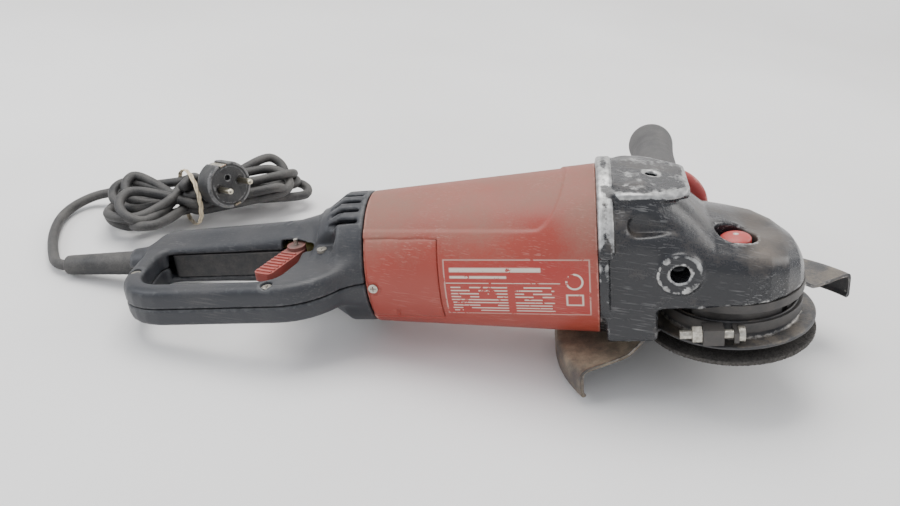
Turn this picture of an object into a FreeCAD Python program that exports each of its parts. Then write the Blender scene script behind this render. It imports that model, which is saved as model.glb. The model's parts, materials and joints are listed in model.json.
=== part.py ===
import FreeCAD, Part
import math
import os
import re

import Sketcher
from FreeCAD import Placement, Rotation, Vector

# A two-handed angle grinder, laid down on its guard, its rear handle and its tied-up cord.
# Tool frame: X runs along the motor towards the gear head, Z up along the spindle, Y to the far
# side. The spindle's axis crosses the motor's axis at the tool frame's origin.

X, Y, Z = Vector(1, 0, 0), Vector(0, 1, 0), Vector(0, 0, 1)

SIZES = {
    # how the tool lies on the floor
    "rest_tilt": 11.3, "rest_roll": -2.0, "rest_shift_x": 180.9, "rest_shift_y": -62.8,
    "rest_shift_z": 102.3,
    # motor housing, a tapered tube
    "housing_rear": -241.0, "housing_front": -88.0, "housing_rear_radius": 46.5,
    "housing_front_radius": 57.5, "housing_wall": 3.2, "rear_wall": 4.0,
    "lug_screw_y": 37.0, "lug_screw_z": 31.0, "lug_radius": 6.5, "lug_depth": 12.0,
    # brush gear
    "brush_line": -213.0, "cover_length": 50.0, "cover_height": 58.0, "cover_thickness": 3.0,
    "brush_width": 12.0, "brush_height": 8.0, "brush_depth": 16.0, "holder_wall": 1.2,
    "holder_depth": 22.0,
    # motor
    "stator_rear": -192.0, "stator_front": -134.0, "stator_radius": 43.5, "stator_bore": 27.0,
    "coil_depth": 9.5, "rotor_radius": 26.4, "shaft_radius": 6.0,
    "commutator_radius": 15.0, "commutator_rear": -223.0, "commutator_front": -203.5,
    "fan_rear": -116.0, "fan_front": -101.0, "fan_radius": 47.0, "fan_blades": 11,
    "baffle_line": -121.0, "rear_bearing_radius": 11.0, "front_bearing_radius": 16.0,
    "bearing_front_face": -69.0, "bearing_width": 10.0,
    # bevel gears, their cones meeting at the tool frame's origin
    "mesh_distance": 28.0, "mesh_radius": 9.0, "gear_inner": 22.0, "gear_outer": 34.0,
    "pinion_teeth": 12, "crown_teeth": 37, "tooth_above": 0.8, "tooth_below": 1.3,
    "tooth_tip": 0.65, "tooth_root": 1.15, "crown_bottom": -20.0,
    # spindle and what it drives
    "spindle_radius": 8.5, "thread_radius": 6.9, "spindle_end": -72.0, "spindle_top": 5.4,
    "lower_bearing_radius": 20.0, "flange_radius": 20.5, "disc_radius": 57.4,
    "disc_top": -57.5, "disc_thickness": 3.0, "disc_bore": 11.1,
    # gear housing and its bearing cover
    "head_bottom": -21.5, "gear_room_radius": 37.0, "gear_room_top": -3.0,
    "tunnel_radius": 14.0, "handle_thread_x": -38.0, "handle_thread_z": 4.0,
    "handle_thread_radius": 6.0, "handle_thread_depth": 17.0, "lug_thread_radius": 4.2,
    "lug_thread_depth": 14.0, "ring_radius": 62.0, "cover_radius": 48.0,
    "cover_plate": 6.0, "collar_radius": 43.0, "collar_bottom": -44.0,
    # spindle lock
    "button_radius": 10.0, "button_y": -18.0, "button_travel": 6.0, "button_well": 13.4,
    "button_top": 15.0, "button_bottom": 8.0, "well_bottom": 1.6, "pin_radius": 2.8,
    # guard
    "guard_radius": 120.0, "guard_sheet": 2.5, "guard_start": 34.0, "guard_end": 212.0,
    "guard_rim": -59.0, "guard_neck": -47.0, "guard_skirt": -80.0, "guard_hem": 4.5,
    "guard_collar": 43.4, "band_top": -35.0, "band_bottom": -42.0, "bolt_y": -52.0,
    # rear handle
    "neck_radius": 46.0, "swivel_radius": 34.0, "grip_radius": 17.5, "grip_wide": 23.0,
    "grip_y": 11.0, "loop_half": 14.0, "boot_radius": 9.0, "boot_end_radius": 7.3,
    "boot_start": -408.0, "boot_end": -483.0, "trigger_pivot_x": -388.0, "trigger_pivot_y": -2.0,
    "lever_pivot_x": -297.0, "lever_pivot_y": -10.0, "pin_wire": 1.5,
    # side handle
    "side_flange_radius": 31.0, "side_grip_radius": 16.0, "side_grip_start": 66.0,
    "side_grip_end": 203.0,
    # cord
    "cord_radius": 4.0,
}

doc = FreeCAD.newDocument("concrete_grinder")
sheet = doc.addObject("Spreadsheet::Sheet", "sizes")
for row, (alias, value) in enumerate(SIZES.items(), start=1):
    sheet.set(f"A{row}", alias)
    sheet.set(f"B{row}", str(value))
    sheet.setAlias(f"B{row}", alias)
doc.recompute()

nodes = []


def size(alias):
    """A driving dimension, read from the sheet."""
    return float(sheet.get(alias))


def bound(text):
    """An expression in which every word is one of the sheet's cells."""
    return re.sub(r"[a-z]\w+", lambda word: "sizes." + word.group(), text)


def node(label, item, where=None):
    """Names a finished piece and keeps it for the hand-in."""
    item.Label = label
    if where:
        item.Placement = where
    nodes.append(item)
    return item


def feature(name, shape):
    """A piece whose shape is made with Part's own functions."""
    item = doc.addObject("Part::Feature", name)
    item.Shape = shape
    return item


def outline(body, name, plane, points):
    """A closed sketch of straight lines whose corners are bound to the sheet."""
    sketch = body.newObject("Sketcher::SketchObject", name)
    face = [item for item in body.Origin.OriginFeatures if item.Role == plane][0]
    sketch.AttachmentSupport = (face, [""])
    sketch.MapMode = "FlatFace"
    count = len(points)
    turn = 2 * math.pi / count
    start = [Vector(500 + 90 * math.cos(turn * i), 500 + 90 * math.sin(turn * i), 0)
             for i in range(count)]
    sketch.addGeometry([Part.LineSegment(start[i], start[(i + 1) % count])
                        for i in range(count)], False)
    for i in range(count):
        sketch.addConstraint(Sketcher.Constraint("Coincident", i, 2, (i + 1) % count, 1))
    for i, (across, up) in enumerate(points):
        for kind, place, text in (("DistanceX", start[i].x, across), ("DistanceY", start[i].y, up)):
            row = sketch.addConstraint(Sketcher.Constraint(kind, -1, 1, i, 1, place))
            sketch.setExpression(f"Constraints[{row}]", bound(text))
    return sketch


def turned(name, points, line="H_Axis"):
    """A body turned about the motor's line (H_Axis) or the spindle's line (V_Axis)."""
    body = doc.addObject("PartDesign::Body", name)
    sketch = outline(body, name + "_profile", "XZ_Plane", points)
    turn = body.newObject("PartDesign::Revolution", name + "_turned")
    turn.Profile = sketch
    turn.ReferenceAxis = (sketch, [line])
    turn.Angle = 360
    body.Tip = turn
    return body


def padded(name, plane, points, length, middle=True):
    """A body padded from a sketch on one of its origin planes."""
    body = doc.addObject("PartDesign::Body", name)
    sketch = outline(body, name + "_outline", plane, points)
    pad = body.newObject("PartDesign::Pad", name + "_pad")
    pad.Profile = sketch
    pad.Midplane = middle
    pad.setExpression("Length", bound(length))
    body.Tip = pad
    return body


def rod(name, radius, length, start, along=Z):
    """A cylinder whose radius, length and place are bound to the sheet."""
    item = doc.addObject("Part::Cylinder", name)
    item.setExpression("Radius", bound(radius))
    item.setExpression("Height", bound(length))
    item.Placement.Rotation = Rotation(Z, along)
    for axis, text in zip("xyz", start):
        item.setExpression(f"Placement.Base.{axis}", bound(text))
    return item


def block(name, low, spans):
    """A box whose low corner and spans are bound to the sheet."""
    item = doc.addObject("Part::Box", name)
    for side, text in zip(("Length", "Width", "Height"), spans):
        item.setExpression(side, bound(text))
    for axis, text in zip("xyz", low):
        item.setExpression(f"Placement.Base.{axis}", bound(text))
    return item


def fused(name, items):
    """One solid made of several that overlap."""
    item = doc.addObject("Part::MultiFuse", name)
    item.Shapes = items
    return item


def cut(name, base, tools):
    """A base with several tools taken out of it."""
    item = doc.addObject("Part::Cut", name)
    item.Base = base
    item.Tool = tools[0] if len(tools) == 1 else fused(name + "_tools", tools)
    return item


def group(name, items):
    """Separate solids that share one node."""
    item = doc.addObject("Part::Compound", name)
    item.Links = items
    return item


def tube(name, outer, inner, low, length, along=Z, centre=("0", "0")):
    """A ring about a line parallel to the spindle or, along X, the motor."""
    start = (low, *centre) if along == X else (*centre, low)
    return cut(name, rod(name + "_outside", outer, length, start, along),
               [rod(name + "_bore", inner, length, start, along)])


def rounded_wire(points, radii, closed=False):
    """Straight runs joined by tangent arcs, one radius for each turning point."""
    count = len(points)
    corners = range(count) if closed else range(1, count - 1)
    entry, leave, edges = {}, {}, []
    for i in corners:
        here = points[i]
        back = (points[i - 1] - here).normalize()
        on = (points[(i + 1) % count] - here).normalize()
        half = back.getAngle(on) / 2
        reach = radii[i] / math.tan(half)
        entry[i], leave[i] = here + back * reach, here + on * reach
        inward = (back + on).normalize()
        middle = here + inward * (radii[i] / math.sin(half) - radii[i])
        edges.append((i, Part.Arc(entry[i], middle, leave[i]).toShape()))
    arcs = dict(edges)
    path = []
    for i in range(count if closed else count - 1):
        following = (i + 1) % count
        if i in arcs:
            path.append(arcs[i])
        path.append(Part.makeLine(leave.get(i, points[i]), entry.get(following, points[following])))
    return Part.Wire(path)


def plate(corners, radii, low, high):
    """A flat plate with rounded corners, its outline given in the XY plane."""
    wire = rounded_wire([Vector(x, y, low) for x, y in corners], radii, closed=True)
    return Part.Face(wire).extrude(Vector(0, 0, high - low))


def screw(head, shank, length, recess=0.5):
    """A cross-recessed screw along -Z, its head's top at the origin."""
    head_height = head * 0.6
    body = Part.makeCylinder(head, head_height, Vector(0, 0, -head_height))
    body = body.fuse(Part.makeCylinder(shank, length, Vector(0, 0, -head_height - length)))
    slot = Part.makeBox(2 * head * 0.6, recess, 1.2, Vector(-head * 0.6, -recess / 2, -1.2))
    cross = slot.fuse(slot.rotated(Vector(), Z, 90))
    return body.cut(cross).removeSplitter()


def placed(shape, at, along):
    """A shape made about +Z, moved to a point with its axis turned to another line."""
    copy = shape.copy()
    copy.Placement = Placement(Vector(*at), Rotation(Z, along))
    return copy


def spring(radius, wire, height, turns):
    """Closed coils stacked on the XY plane and joined by a bar, standing for a coil spring."""
    gap = (height - 2 * wire) / (turns - 1)
    coils = [Part.makeTorus(radius, wire, Vector(0, 0, wire + gap * i)) for i in range(turns)]
    bar = Part.makeBox(wire, wire, height - 2 * wire, Vector(radius - wire / 2, -wire / 2, wire))
    return bar.fuse(coils).removeSplitter()


# --- motor housing -----------------------------------------------------------------------------

def housing_wall_radius(x, inside=False):
    """The housing's radius where it crosses the plane at x."""
    share = (x - size("housing_rear")) / (size("housing_front") - size("housing_rear"))
    grow = size("housing_front_radius") - size("housing_rear_radius")
    return size("housing_rear_radius") + share * grow - (size("housing_wall") if inside else 0)


LUG_SIGNS = [(-1, -1), (-1, 1), (1, -1), (1, 1)]
shell = turned("housing_shell", [
    ("housing_rear", "rear_bearing_radius - 4"), ("housing_rear", "housing_rear_radius"),
    ("housing_front", "housing_front_radius"),
    ("housing_front", "housing_front_radius - housing_wall"),
    ("housing_rear + rear_wall", "housing_rear_radius - housing_wall"),
    ("housing_rear + rear_wall", "rear_bearing_radius + 4"),
    ("housing_rear + rear_wall + 11", "rear_bearing_radius + 4"),
    ("housing_rear + rear_wall + 11", "rear_bearing_radius"),
    ("housing_rear + rear_wall", "rear_bearing_radius"),
    ("housing_rear + rear_wall", "rear_bearing_radius - 4")])
swivel_collar = tube("swivel_collar", "swivel_radius", "swivel_radius - 4", "housing_rear - 14",
                     "14.5", X)
lugs = [rod(f"housing_lug_{i}", "lug_radius", "lug_depth",
            ("housing_front - lug_depth", f"{y} * lug_screw_y", f"{z} * lug_screw_z"), X)
        for i, (y, z) in enumerate(LUG_SIGNS)]
lug_holes = [rod(f"housing_lug_hole_{i}", "2", "lug_depth",
                 ("housing_front - lug_depth", f"{y} * lug_screw_y", f"{z} * lug_screw_z"), X)
             for i, (y, z) in enumerate(LUG_SIGNS)]
windows = [block(f"brush_window_{side}", ("brush_line - 11", f"{side} * 47 - 13", "-9"),
                 ("22", "26", "18")) for side in (-1, 1)]
cover_beds = [block(f"cover_bed_{side}",
                    ("housing_rear - 1", f"{side} * 57.2 - 12.8", "-cover_height / 2"),
                    ("cover_length + 1", "25.6", "cover_height")) for side in (-1, 1)]
cover_threads = [rod(f"cover_thread_{side}", "1.9", "16", ("-236", f"{side} * 42 - 8", "-3"), Y)
                 for side in (-1, 1)]
RING_SCREWS = [(32.2 * math.cos(math.radians(a)), 32.2 * math.sin(math.radians(a)))
               for a in (90, 210, 330)]


def ring_screw_holes(name):
    """The three holes that the swivel's retaining ring is screwed down through."""
    return [rod(f"{name}_{i}", "1", "10", ("housing_rear - 18.5", f"{y}", f"{z}"), X)
            for i, (y, z) in enumerate(RING_SCREWS)]


air_holes = [rod(f"air_hole_{i}", "5.5", "rear_wall + 2",
                 ("housing_rear - 1", f"{23 * math.cos(math.pi * i / 3)}",
                  f"{23 * math.sin(math.pi * i / 3)}"), X) for i in range(6)]
node("motor_housing", cut("housing_cut", fused("housing_blank", [shell, swivel_collar, *lugs]),
                          [*lug_holes, *windows, *cover_beds, *air_holes, *cover_threads,
                           *ring_screw_holes("collar_hole")]))

covers = []
for side in (-1, 1):
    slab = block(f"cover_slab_{side}", ("housing_rear + 0.2", f"{side} * 57.4 - 12.9",
                                        "-cover_height / 2 + 0.2"),
                 ("cover_length - 0.5", "25.8", "cover_height - 0.4"))
    skin = turned(f"cover_skin_{side}", [
        ("housing_rear + 0.2", "housing_rear_radius - 2"),
        ("housing_rear + 0.2", "housing_rear_radius + 0.2"),
        ("housing_rear + cover_length", "housing_rear_radius + 3.8"),
        ("housing_rear + cover_length", "housing_rear_radius + 1.6")])
    lid = doc.addObject("Part::Common", f"cover_lid_{side}")
    lid.Base = slab
    lid.Tool = skin
    covers.append(cut(f"cover_{side}", lid, [
        rod(f"cover_hole_{side}", "1.9", "30", ("-236", f"{side} * 50 - 15", "-3"), Y),
        rod(f"cover_sink_{side}", "3.25", "10", ("-236", f"{side} * 50 - 5", "-3"), Y)]))
node("brush_covers", group("cover_pair", covers))
cover_screw = screw(3.2, 1.9, 6.5)
node("brush_cover_screws", feature("cover_screws", Part.makeCompound([
    placed(cover_screw, (-236, side * 46.95, -3), Vector(0, side, 0)) for side in (-1, 1)])))

# --- brush gear --------------------------------------------------------------------------------
holders, carbons, coils = [], [], []
for side in (-1, 1):
    inner = "commutator_radius + 2" if side > 0 else "-commutator_radius - 2 - holder_depth"
    outside = block(f"holder_outside_{side}", ("brush_line - brush_width / 2 - holder_wall", inner,
                                               "-brush_height / 2 - holder_wall"),
                    ("brush_width + 2 * holder_wall", "holder_depth",
                     "brush_height + 2 * holder_wall"))
    inside = block(f"holder_inside_{side}", ("brush_line - brush_width / 2", inner,
                                             "-brush_height / 2"),
                   ("brush_width", "holder_depth", "brush_height"))
    holders.append(cut(f"holder_{side}", outside, [inside]))
    foot = "commutator_radius + 0.1" if side > 0 else "-commutator_radius - 0.1 - brush_depth"
    carbons.append(block(f"carbon_{side}", ("brush_line - brush_width / 2 + 0.1", foot,
                                            "-brush_height / 2 + 0.1"),
                         ("brush_width - 0.2", "brush_depth", "brush_height - 0.2")))
    coils.append(placed(spring(3.0, 0.35, 5.5, 4),
                        (size("brush_line"), side * (size("commutator_radius") + 16.6), 0),
                        Vector(0, side, 0)))
node("brush_holders", group("holder_pair", holders))
node("carbon_brushes", group("carbon_pair", carbons))
node("brush_springs", feature("brush_coils", Part.makeCompound(coils)))

# --- stator, armature and bearings -------------------------------------------------------------
poles = [block(f"stator_window_{side}", ("stator_rear - 1", "-8", f"{side} * 31 - 5"),
               ("stator_front - stator_rear + 2", "16", "10")) for side in (-1, 1)]
node("stator_core", cut("stator_cut", tube("stator_ring", "stator_radius", "stator_bore",
                                           "stator_rear", "stator_front - stator_rear", X), poles))
node("stator_coils", group("coil_pair", [
    tube("coil_rear", "stator_radius - 4", "stator_bore + 1", "stator_rear - coil_depth",
         "coil_depth", X),
    tube("coil_front", "stator_radius - 4", "stator_bore + 1", "stator_front", "coil_depth", X)]))
baffle_radius = housing_wall_radius(size("baffle_line"), inside=True) - 0.1
node("air_baffle", tube("baffle", f"{baffle_radius}", "36", "baffle_line", "2.5", X))
node("rear_bearing", tube("bearing_rear", "rear_bearing_radius", "4", "housing_rear + 7", "7", X))
node("front_bearing", tube("bearing_front", "front_bearing_radius", "shaft_radius",
                           "bearing_front_face - bearing_width", "bearing_width", X))
node("armature_shaft", turned("shaft", [
    ("housing_rear + 6", "0"), ("housing_rear + 6", "3.95"), ("commutator_rear - 2", "3.95"),
    ("commutator_rear - 2", "shaft_radius - 0.05"),
    ("bearing_front_face + 1", "shaft_radius - 0.05"),
    ("bearing_front_face + 1", "4.9"), ("-gear_inner + 3", "4.9"), ("-gear_inner + 3", "0")]))
rotor_blank = tube("rotor_blank", "rotor_radius", "shaft_radius - 0.05", "stator_rear",
                   "stator_front - stator_rear", X)
rotor_slots = feature("rotor_slots", Part.makeCompound([
    Part.makeBox(60, 2.0, 3.2, Vector(-193, -1.0, 23.8)).rotated(Vector(), X, 360 * i / 16)
    for i in range(16)]))
node("rotor_core", cut("rotor_cut", rotor_blank, [rotor_slots]))
node("rotor_windings", group("winding_pair", [
    tube("winding_rear", "23", "shaft_radius", "stator_rear - 9", "9", X),
    tube("winding_front", "23", "shaft_radius", "stator_front", "9", X)]))
bars = feature("commutator_gaps", Part.makeCompound([
    Part.makeBox(21, 0.6, 1.6, Vector(-224, -0.3, 13.8)).rotated(Vector(), X, 360 * i / 24)
    for i in range(24)]))
node("commutator", cut("commutator_cut",
                       tube("commutator_ring", "commutator_radius", "shaft_radius",
                            "commutator_rear", "commutator_front - commutator_rear - 0.5", X),
                       [bars]))
fan_disc = turned("fan_disc", [
    ("fan_rear", "shaft_radius - 0.05"), ("fan_rear", "12"), ("fan_front - 5", "14"),
    ("fan_front - 3", "fan_radius"), ("fan_front", "fan_radius"),
    ("fan_front", "shaft_radius - 0.05")])
blade = Part.makeBox(9, 32, 1.8, Vector(-112, 14, -0.9)).rotated(Vector(0, 30, 0), X, 28)
blades = [feature(f"fan_blade_{i}", blade.rotated(Vector(), X, 360 * i / size("fan_blades")))
          for i in range(int(size("fan_blades")))]
node("cooling_fan", fused("fan", [fan_disc, *blades]))


def bevel_tooth(centre, below, above, root, tip):
    """A tooth whose lines all run to the origin, pointing along +Z from the mesh radius."""
    scales = [size(edge) / size("mesh_distance") for edge in ("gear_inner", "gear_outer")]
    rings = []
    for scale in scales:
        corners = [(-root, centre - below), (root, centre - below), (tip, centre + above),
                   (-tip, centre + above)]
        rings.append(Part.makePolygon([
            Vector(-size("mesh_distance"), y, z) * scale for y, z in corners + corners[:1]]))
    return Part.makeLoft(rings, True, True)


mesh = size("mesh_radius")
tooth_sides = (size("tooth_root"), size("tooth_tip"))
root_radius = mesh - size("tooth_below")
slope = root_radius / size("mesh_distance")
pinion = Part.makeCone(slope * size("gear_outer"), slope * size("gear_inner"),
                       size("gear_outer") - size("gear_inner"), Vector(-size("gear_outer"), 0, 0), X)
pinion_tooth = bevel_tooth(mesh, size("tooth_below") + 0.4, size("tooth_above"), *tooth_sides)
pinion_step = 360 / size("pinion_teeth")
pinion = pinion.fuse([pinion_tooth.rotated(Vector(), X, 180 + pinion_step * i)
                      for i in range(int(size("pinion_teeth")))])
pinion = pinion.cut(Part.makeCylinder(4.9, 40, Vector(-50, 0, 0), X))
node("pinion", feature("pinion_gear", pinion.removeSplitter()))

crown_slope = (mesh + size("tooth_below")) / size("mesh_distance")
profile = [(8.6, size("crown_bottom")), (size("gear_outer"), size("crown_bottom")),
           (size("gear_outer"), -crown_slope * size("gear_outer")),
           (size("gear_inner"), -crown_slope * size("gear_inner")), (size("gear_inner"), -11.0),
           (14.0, -11.0), (14.0, -6.0), (8.6, -6.0)]
blank = Part.Face(Part.makePolygon([Vector(r, 0, z) for r, z in profile + profile[:1]]))
crown = blank.revolve(Vector(), Z, 360)
crown_tooth = bevel_tooth(-mesh, size("tooth_below") + 0.6, size("tooth_above"), *tooth_sides)
crown_step = 360 / size("crown_teeth")
crown = crown.fuse([crown_tooth.rotated(Vector(), Z, crown_step * (i + 0.5))
                    for i in range(int(size("crown_teeth")))])
lock_holes = [Part.makeCylinder(3.6, 12, Vector(18, 0, -22)).rotated(Vector(), Z, 30 + 60 * i)
              for i in range(6)]
crown = crown.cut(lock_holes)
node("crown_gear", feature("crown_wheel", crown.removeSplitter()))

# --- gear housing ------------------------------------------------------------------------------

# x, deck height, half width of the deck, height of the shoulder, half width, underside
HEAD_SECTIONS = [
    (-86, 55, 24, 30, 50, -46), (-60, 53, 30, 32, 51, -46), (-50, 50, 30, 28, 51, -46),
    (-42, 46, 27, 22, 51, -21.5), (-30, 36, 24, 17, 51, -21.5), (-15, 21, 26, 11, 50, -21.5),
    (3, 15, 30, 8, 49, -21.5), (18, 11.5, 27, 6, 45, -21.5), (30, 7.5, 20, 2, 37, -21.5),
    (40, 1.5, 14, -4, 26, -21.5), (47, -7, 8, -12, 13, -21.5)]


def head_ring(x, deck, deck_half, shoulder, half, under):
    """One cross-section of the casting, square to the motor's line."""
    corners = [(-half + 4, under), (half - 4, under), (half, under + 6), (half, shoulder),
               (deck_half, deck), (-deck_half, deck), (-half, shoulder), (-half, under + 6)]
    return Part.makePolygon([Vector(x, y, z) for y, z in corners + corners[:1]])


casting = feature("head_casting", Part.makeLoft([head_ring(*row) for row in HEAD_SECTIONS],
                                                True, True))
rear_plate = rod("head_rear_plate", "housing_front_radius", "5", ("housing_front", "0", "0"), X)
ring = rod("head_ring", "ring_radius", "9", ("housing_front", "0", "0"), X)
below_ring = block("below_head_ring", ("housing_front - 1", "-70", "-70"), ("12", "140", "88"))
pads = [rod(f"thread_pad_{side}", "14", "8", ("handle_thread_x", f"{side} * 49 - 4",
                                              "handle_thread_z"), Y) for side in (-1, 1)]
head_blank = fused("head_blank", [casting, rear_plate, cut("head_top_ring", ring, [below_ring]),
                                  *pads])
head_tools = [
    rod("gear_room", "gear_room_radius", "gear_room_top - head_bottom + 1",
        ("0", "0", "head_bottom - 1")),
    rod("pinion_tunnel", "tunnel_radius", "60", ("-72", "0", "0"), X),
    rod("front_bearing_seat", "front_bearing_radius", "30", ("bearing_front_face - 30", "0", "0"),
        X),
    rod("upper_bush_seat", "11", "5.5", ("0", "0", "gear_room_top - 1")),
    rod("button_well", "button_well", "30", ("0", "button_y", "well_bottom")),
    rod("lock_pin_hole", "pin_radius + 0.05", "20", ("0", "button_y", "-8")),
    rod("lug_thread", "lug_thread_radius", "30", ("-52", "0", "53 - lug_thread_depth"))]
head_tools.append(rod("guard_notch", "69", "40", ("0", "0", "head_bottom - 40")))
for side in (-1, 1):
    start = f"{side} * 54" if side < 0 else "54 - handle_thread_depth"
    head_tools.append(rod(f"handle_thread_{side}", "handle_thread_radius", "handle_thread_depth",
                          ("handle_thread_x", start, "handle_thread_z"), Y))
for i, (y, z) in enumerate(LUG_SIGNS):
    head_tools.append(rod(f"head_screw_hole_{i}", "2", "30", ("housing_front - 1",
                          f"{y} * lug_screw_y", f"{z} * lug_screw_z"), X))
    head_tools.append(rod(f"head_screw_room_{i}", "4.6", "34", ("housing_front + 9",
                          f"{y} * lug_screw_y", f"{z} * lug_screw_z"), X))
COVER_SCREWS = [(39 * math.cos(math.radians(a)), 39 * math.sin(math.radians(a)))
                for a in (45, 135, 225, 315)]
for i, (x, y) in enumerate(COVER_SCREWS):
    head_tools.append(rod(f"cover_screw_hole_{i}", "1.8", "12", (f"{x * 1.07}", f"{y * 1.07}",
                                                                 "head_bottom - 1")))
node("gear_housing", cut("head", head_blank, head_tools))

case_screw = screw(4.2, 2.0, 16)
node("gear_housing_screws", feature("case_screws", Part.makeCompound([
    placed(case_screw, (size("housing_front") + 11.6, y * size("lug_screw_y"),
                        z * size("lug_screw_z")), X) for y, z in LUG_SIGNS])))

cover_blank = turned("cover_turning", [
    ("lower_bearing_radius", "head_bottom"), ("cover_radius", "head_bottom"),
    ("cover_radius", "head_bottom - cover_plate"), ("collar_radius", "head_bottom - cover_plate"),
    ("collar_radius", "collar_bottom"), ("14", "collar_bottom"), ("14", "-41"),
    ("lower_bearing_radius", "-41")], "V_Axis")
cover_holes = [rod(f"cover_bolt_hole_{i}", "1.8", "8", (f"{x * 1.07}", f"{y * 1.07}",
                                                         "head_bottom - cover_plate - 1"))
               for i, (x, y) in enumerate(COVER_SCREWS)]
cover_rooms = [rod(f"cover_bolt_room_{i}", "3.1", "30", (f"{x * 1.07}", f"{y * 1.07}",
                                                         "head_bottom - cover_plate - 28"))
               for i, (x, y) in enumerate(COVER_SCREWS)]
node("bearing_cover", cut("cover_bored", cover_blank, [*cover_holes, *cover_rooms]))
plate_screw = screw(3.0, 1.8, 9)
node("bearing_cover_screws", feature("plate_screws", Part.makeCompound([
    placed(plate_screw, (x * 1.07, y * 1.07, size("head_bottom") - size("cover_plate") + 0.2),
           Vector(0, 0, -1)) for x, y in COVER_SCREWS])))

node("spindle_upper_bearing", tube("bush", "11", "spindle_radius - 2.45", "gear_room_top + 0.5",
                                   "4"))
node("spindle_lower_bearing", tube("bearing_lower", "lower_bearing_radius", "spindle_radius",
                                   "-41", "12"))

# --- spindle and disc --------------------------------------------------------------------------
node("spindle_shaft", turned("spindle", [
    ("0", "spindle_end"), ("thread_radius - 0.8", "spindle_end"), ("thread_radius", "-70.5"),
    ("thread_radius", "-52"), ("12", "-52"), ("12", "-45.5"), ("spindle_radius - 0.05", "-45.5"),
    ("spindle_radius - 0.05", "-5"), ("spindle_radius - 2.5", "-5"),
    ("spindle_radius - 2.5", "spindle_top - 4"), ("0", "spindle_top - 4")], "V_Axis"))
node("gear_circlip", tube("circlip", "11", "spindle_radius - 0.05", "-21.4", "1.2"))
node("backing_flange", turned("flange", [
    ("thread_radius + 0.1", "disc_top + 4.5"), ("flange_radius - 4", "disc_top + 4.5"),
    ("flange_radius", "disc_top + 3"), ("flange_radius", "disc_top"),
    ("disc_bore - 0.1", "disc_top"), ("disc_bore - 0.1", "disc_top - 2"),
    ("thread_radius + 0.1", "disc_top - 2")], "V_Axis"))
node("grinding_disc", tube("disc", "disc_radius", "disc_bore", "disc_top - disc_thickness",
                           "disc_thickness"))
nut_blank = turned("nut_turning", [
    ("thread_radius + 0.05", "disc_top - disc_thickness"),
    ("flange_radius", "disc_top - disc_thickness"),
    ("flange_radius", "disc_top - disc_thickness - 4"),
    ("14", "disc_top - disc_thickness - 8"), ("thread_radius + 0.05",
                                              "disc_top - disc_thickness - 8")], "V_Axis")
nut_holes = [rod(f"nut_hole_{i}", "2.6", "6",
                 (f"{15 * math.cos(math.pi * i / 2)}", f"{15 * math.sin(math.pi * i / 2)}",
                  "disc_top - disc_thickness - 9")) for i in range(4)]
node("clamping_nut", cut("nut_drilled", nut_blank, nut_holes))

# --- spindle lock ------------------------------------------------------------------------------
node("lock_button", turned("button", [
    ("0", "button_bottom"), ("button_radius", "button_bottom"),
    ("button_radius", "button_top - 2.5"), ("button_radius - 3", "button_top - 0.6"),
    ("0", "button_top")], "V_Axis"), Placement(Vector(0, size("button_y"), 0), Rotation()))
node("lock_pin", turned("pin", [
    ("0", "-8"), ("pin_radius - 0.6", "-8"), ("pin_radius", "-7.2"),
    ("pin_radius", "button_bottom"), ("0", "button_bottom")], "V_Axis"),
     Placement(Vector(0, size("button_y"), 0), Rotation()))
node("button_spring", feature("button_coil", placed(
    spring(6.0, 0.45, 5.2, 4), (0, size("button_y"), size("well_bottom") + 0.5), Z)))

# --- guard -------------------------------------------------------------------------------------
arc_degrees = size("guard_end") - size("guard_start")


def swept(profile, degrees, start):
    """A profile in the XZ plane, turned part of the way round the spindle."""
    face = Part.Face(Part.makePolygon([Vector(r, 0, z) for r, z in profile + profile[:1]]))
    face.rotate(Vector(), Z, start)
    return face.revolve(Vector(), Z, degrees)


rim, neck, sheet_t = size("guard_rim"), size("guard_neck"), size("guard_sheet")
radius, collar = size("guard_radius"), size("guard_collar")
skirt, hem = size("guard_skirt"), size("guard_hem")
wing = swept([(56, neck), (64, neck), (82, rim), (radius - 2, rim), (radius, rim - 2),
              (radius, skirt), (radius - hem, skirt), (radius - hem, skirt + sheet_t),
              (radius - sheet_t, skirt + sheet_t), (radius - sheet_t, rim - sheet_t),
              (81, rim - sheet_t), (63, neck - sheet_t), (56, neck - sheet_t)],
             arc_degrees, size("guard_start"))
sleeve = swept([(collar, -34), (collar + 2, -34), (collar + 2, neck), (57, neck),
                (57, neck - sheet_t), (collar, neck - sheet_t)], 360, 0)
guard = sleeve.fuse([wing])
node("guard_shell", feature("guard", guard.removeSplitter()))

band = swept([(collar + 2.05, size("band_bottom")), (collar + 4, size("band_bottom")),
              (collar + 4, size("band_top")), (collar + 2.05, size("band_top"))], 346, -94.5)
ear = Part.makeBox(3, 13.5, 7, Vector(-5, -59, size("band_bottom")))
ear_hole = Part.makeCylinder(3.05, 12, Vector(-10, size("bolt_y") - 1, -38.5), X)
node("guard_clamp_band", feature("clamp_band", band.fuse(ear).cut(ear_hole).removeSplitter()))
bolt_at = size("bolt_y") - 1
node("clamp_bolt", feature("bolt", Part.makeCylinder(3, 37, Vector(-38, bolt_at, -38.5), X).fuse(
    Part.makeCylinder(5, 4, Vector(-2, bolt_at, -38.5), X)).removeSplitter()))


def hexagon(across, thick):
    """A hexagonal prism standing on the XY plane."""
    corner = across / math.sqrt(3)
    points = [Vector(corner * math.cos(math.pi * i / 3), corner * math.sin(math.pi * i / 3), 0)
              for i in range(7)]
    return Part.Face(Part.makePolygon(points)).extrude(Vector(0, 0, thick))


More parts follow.
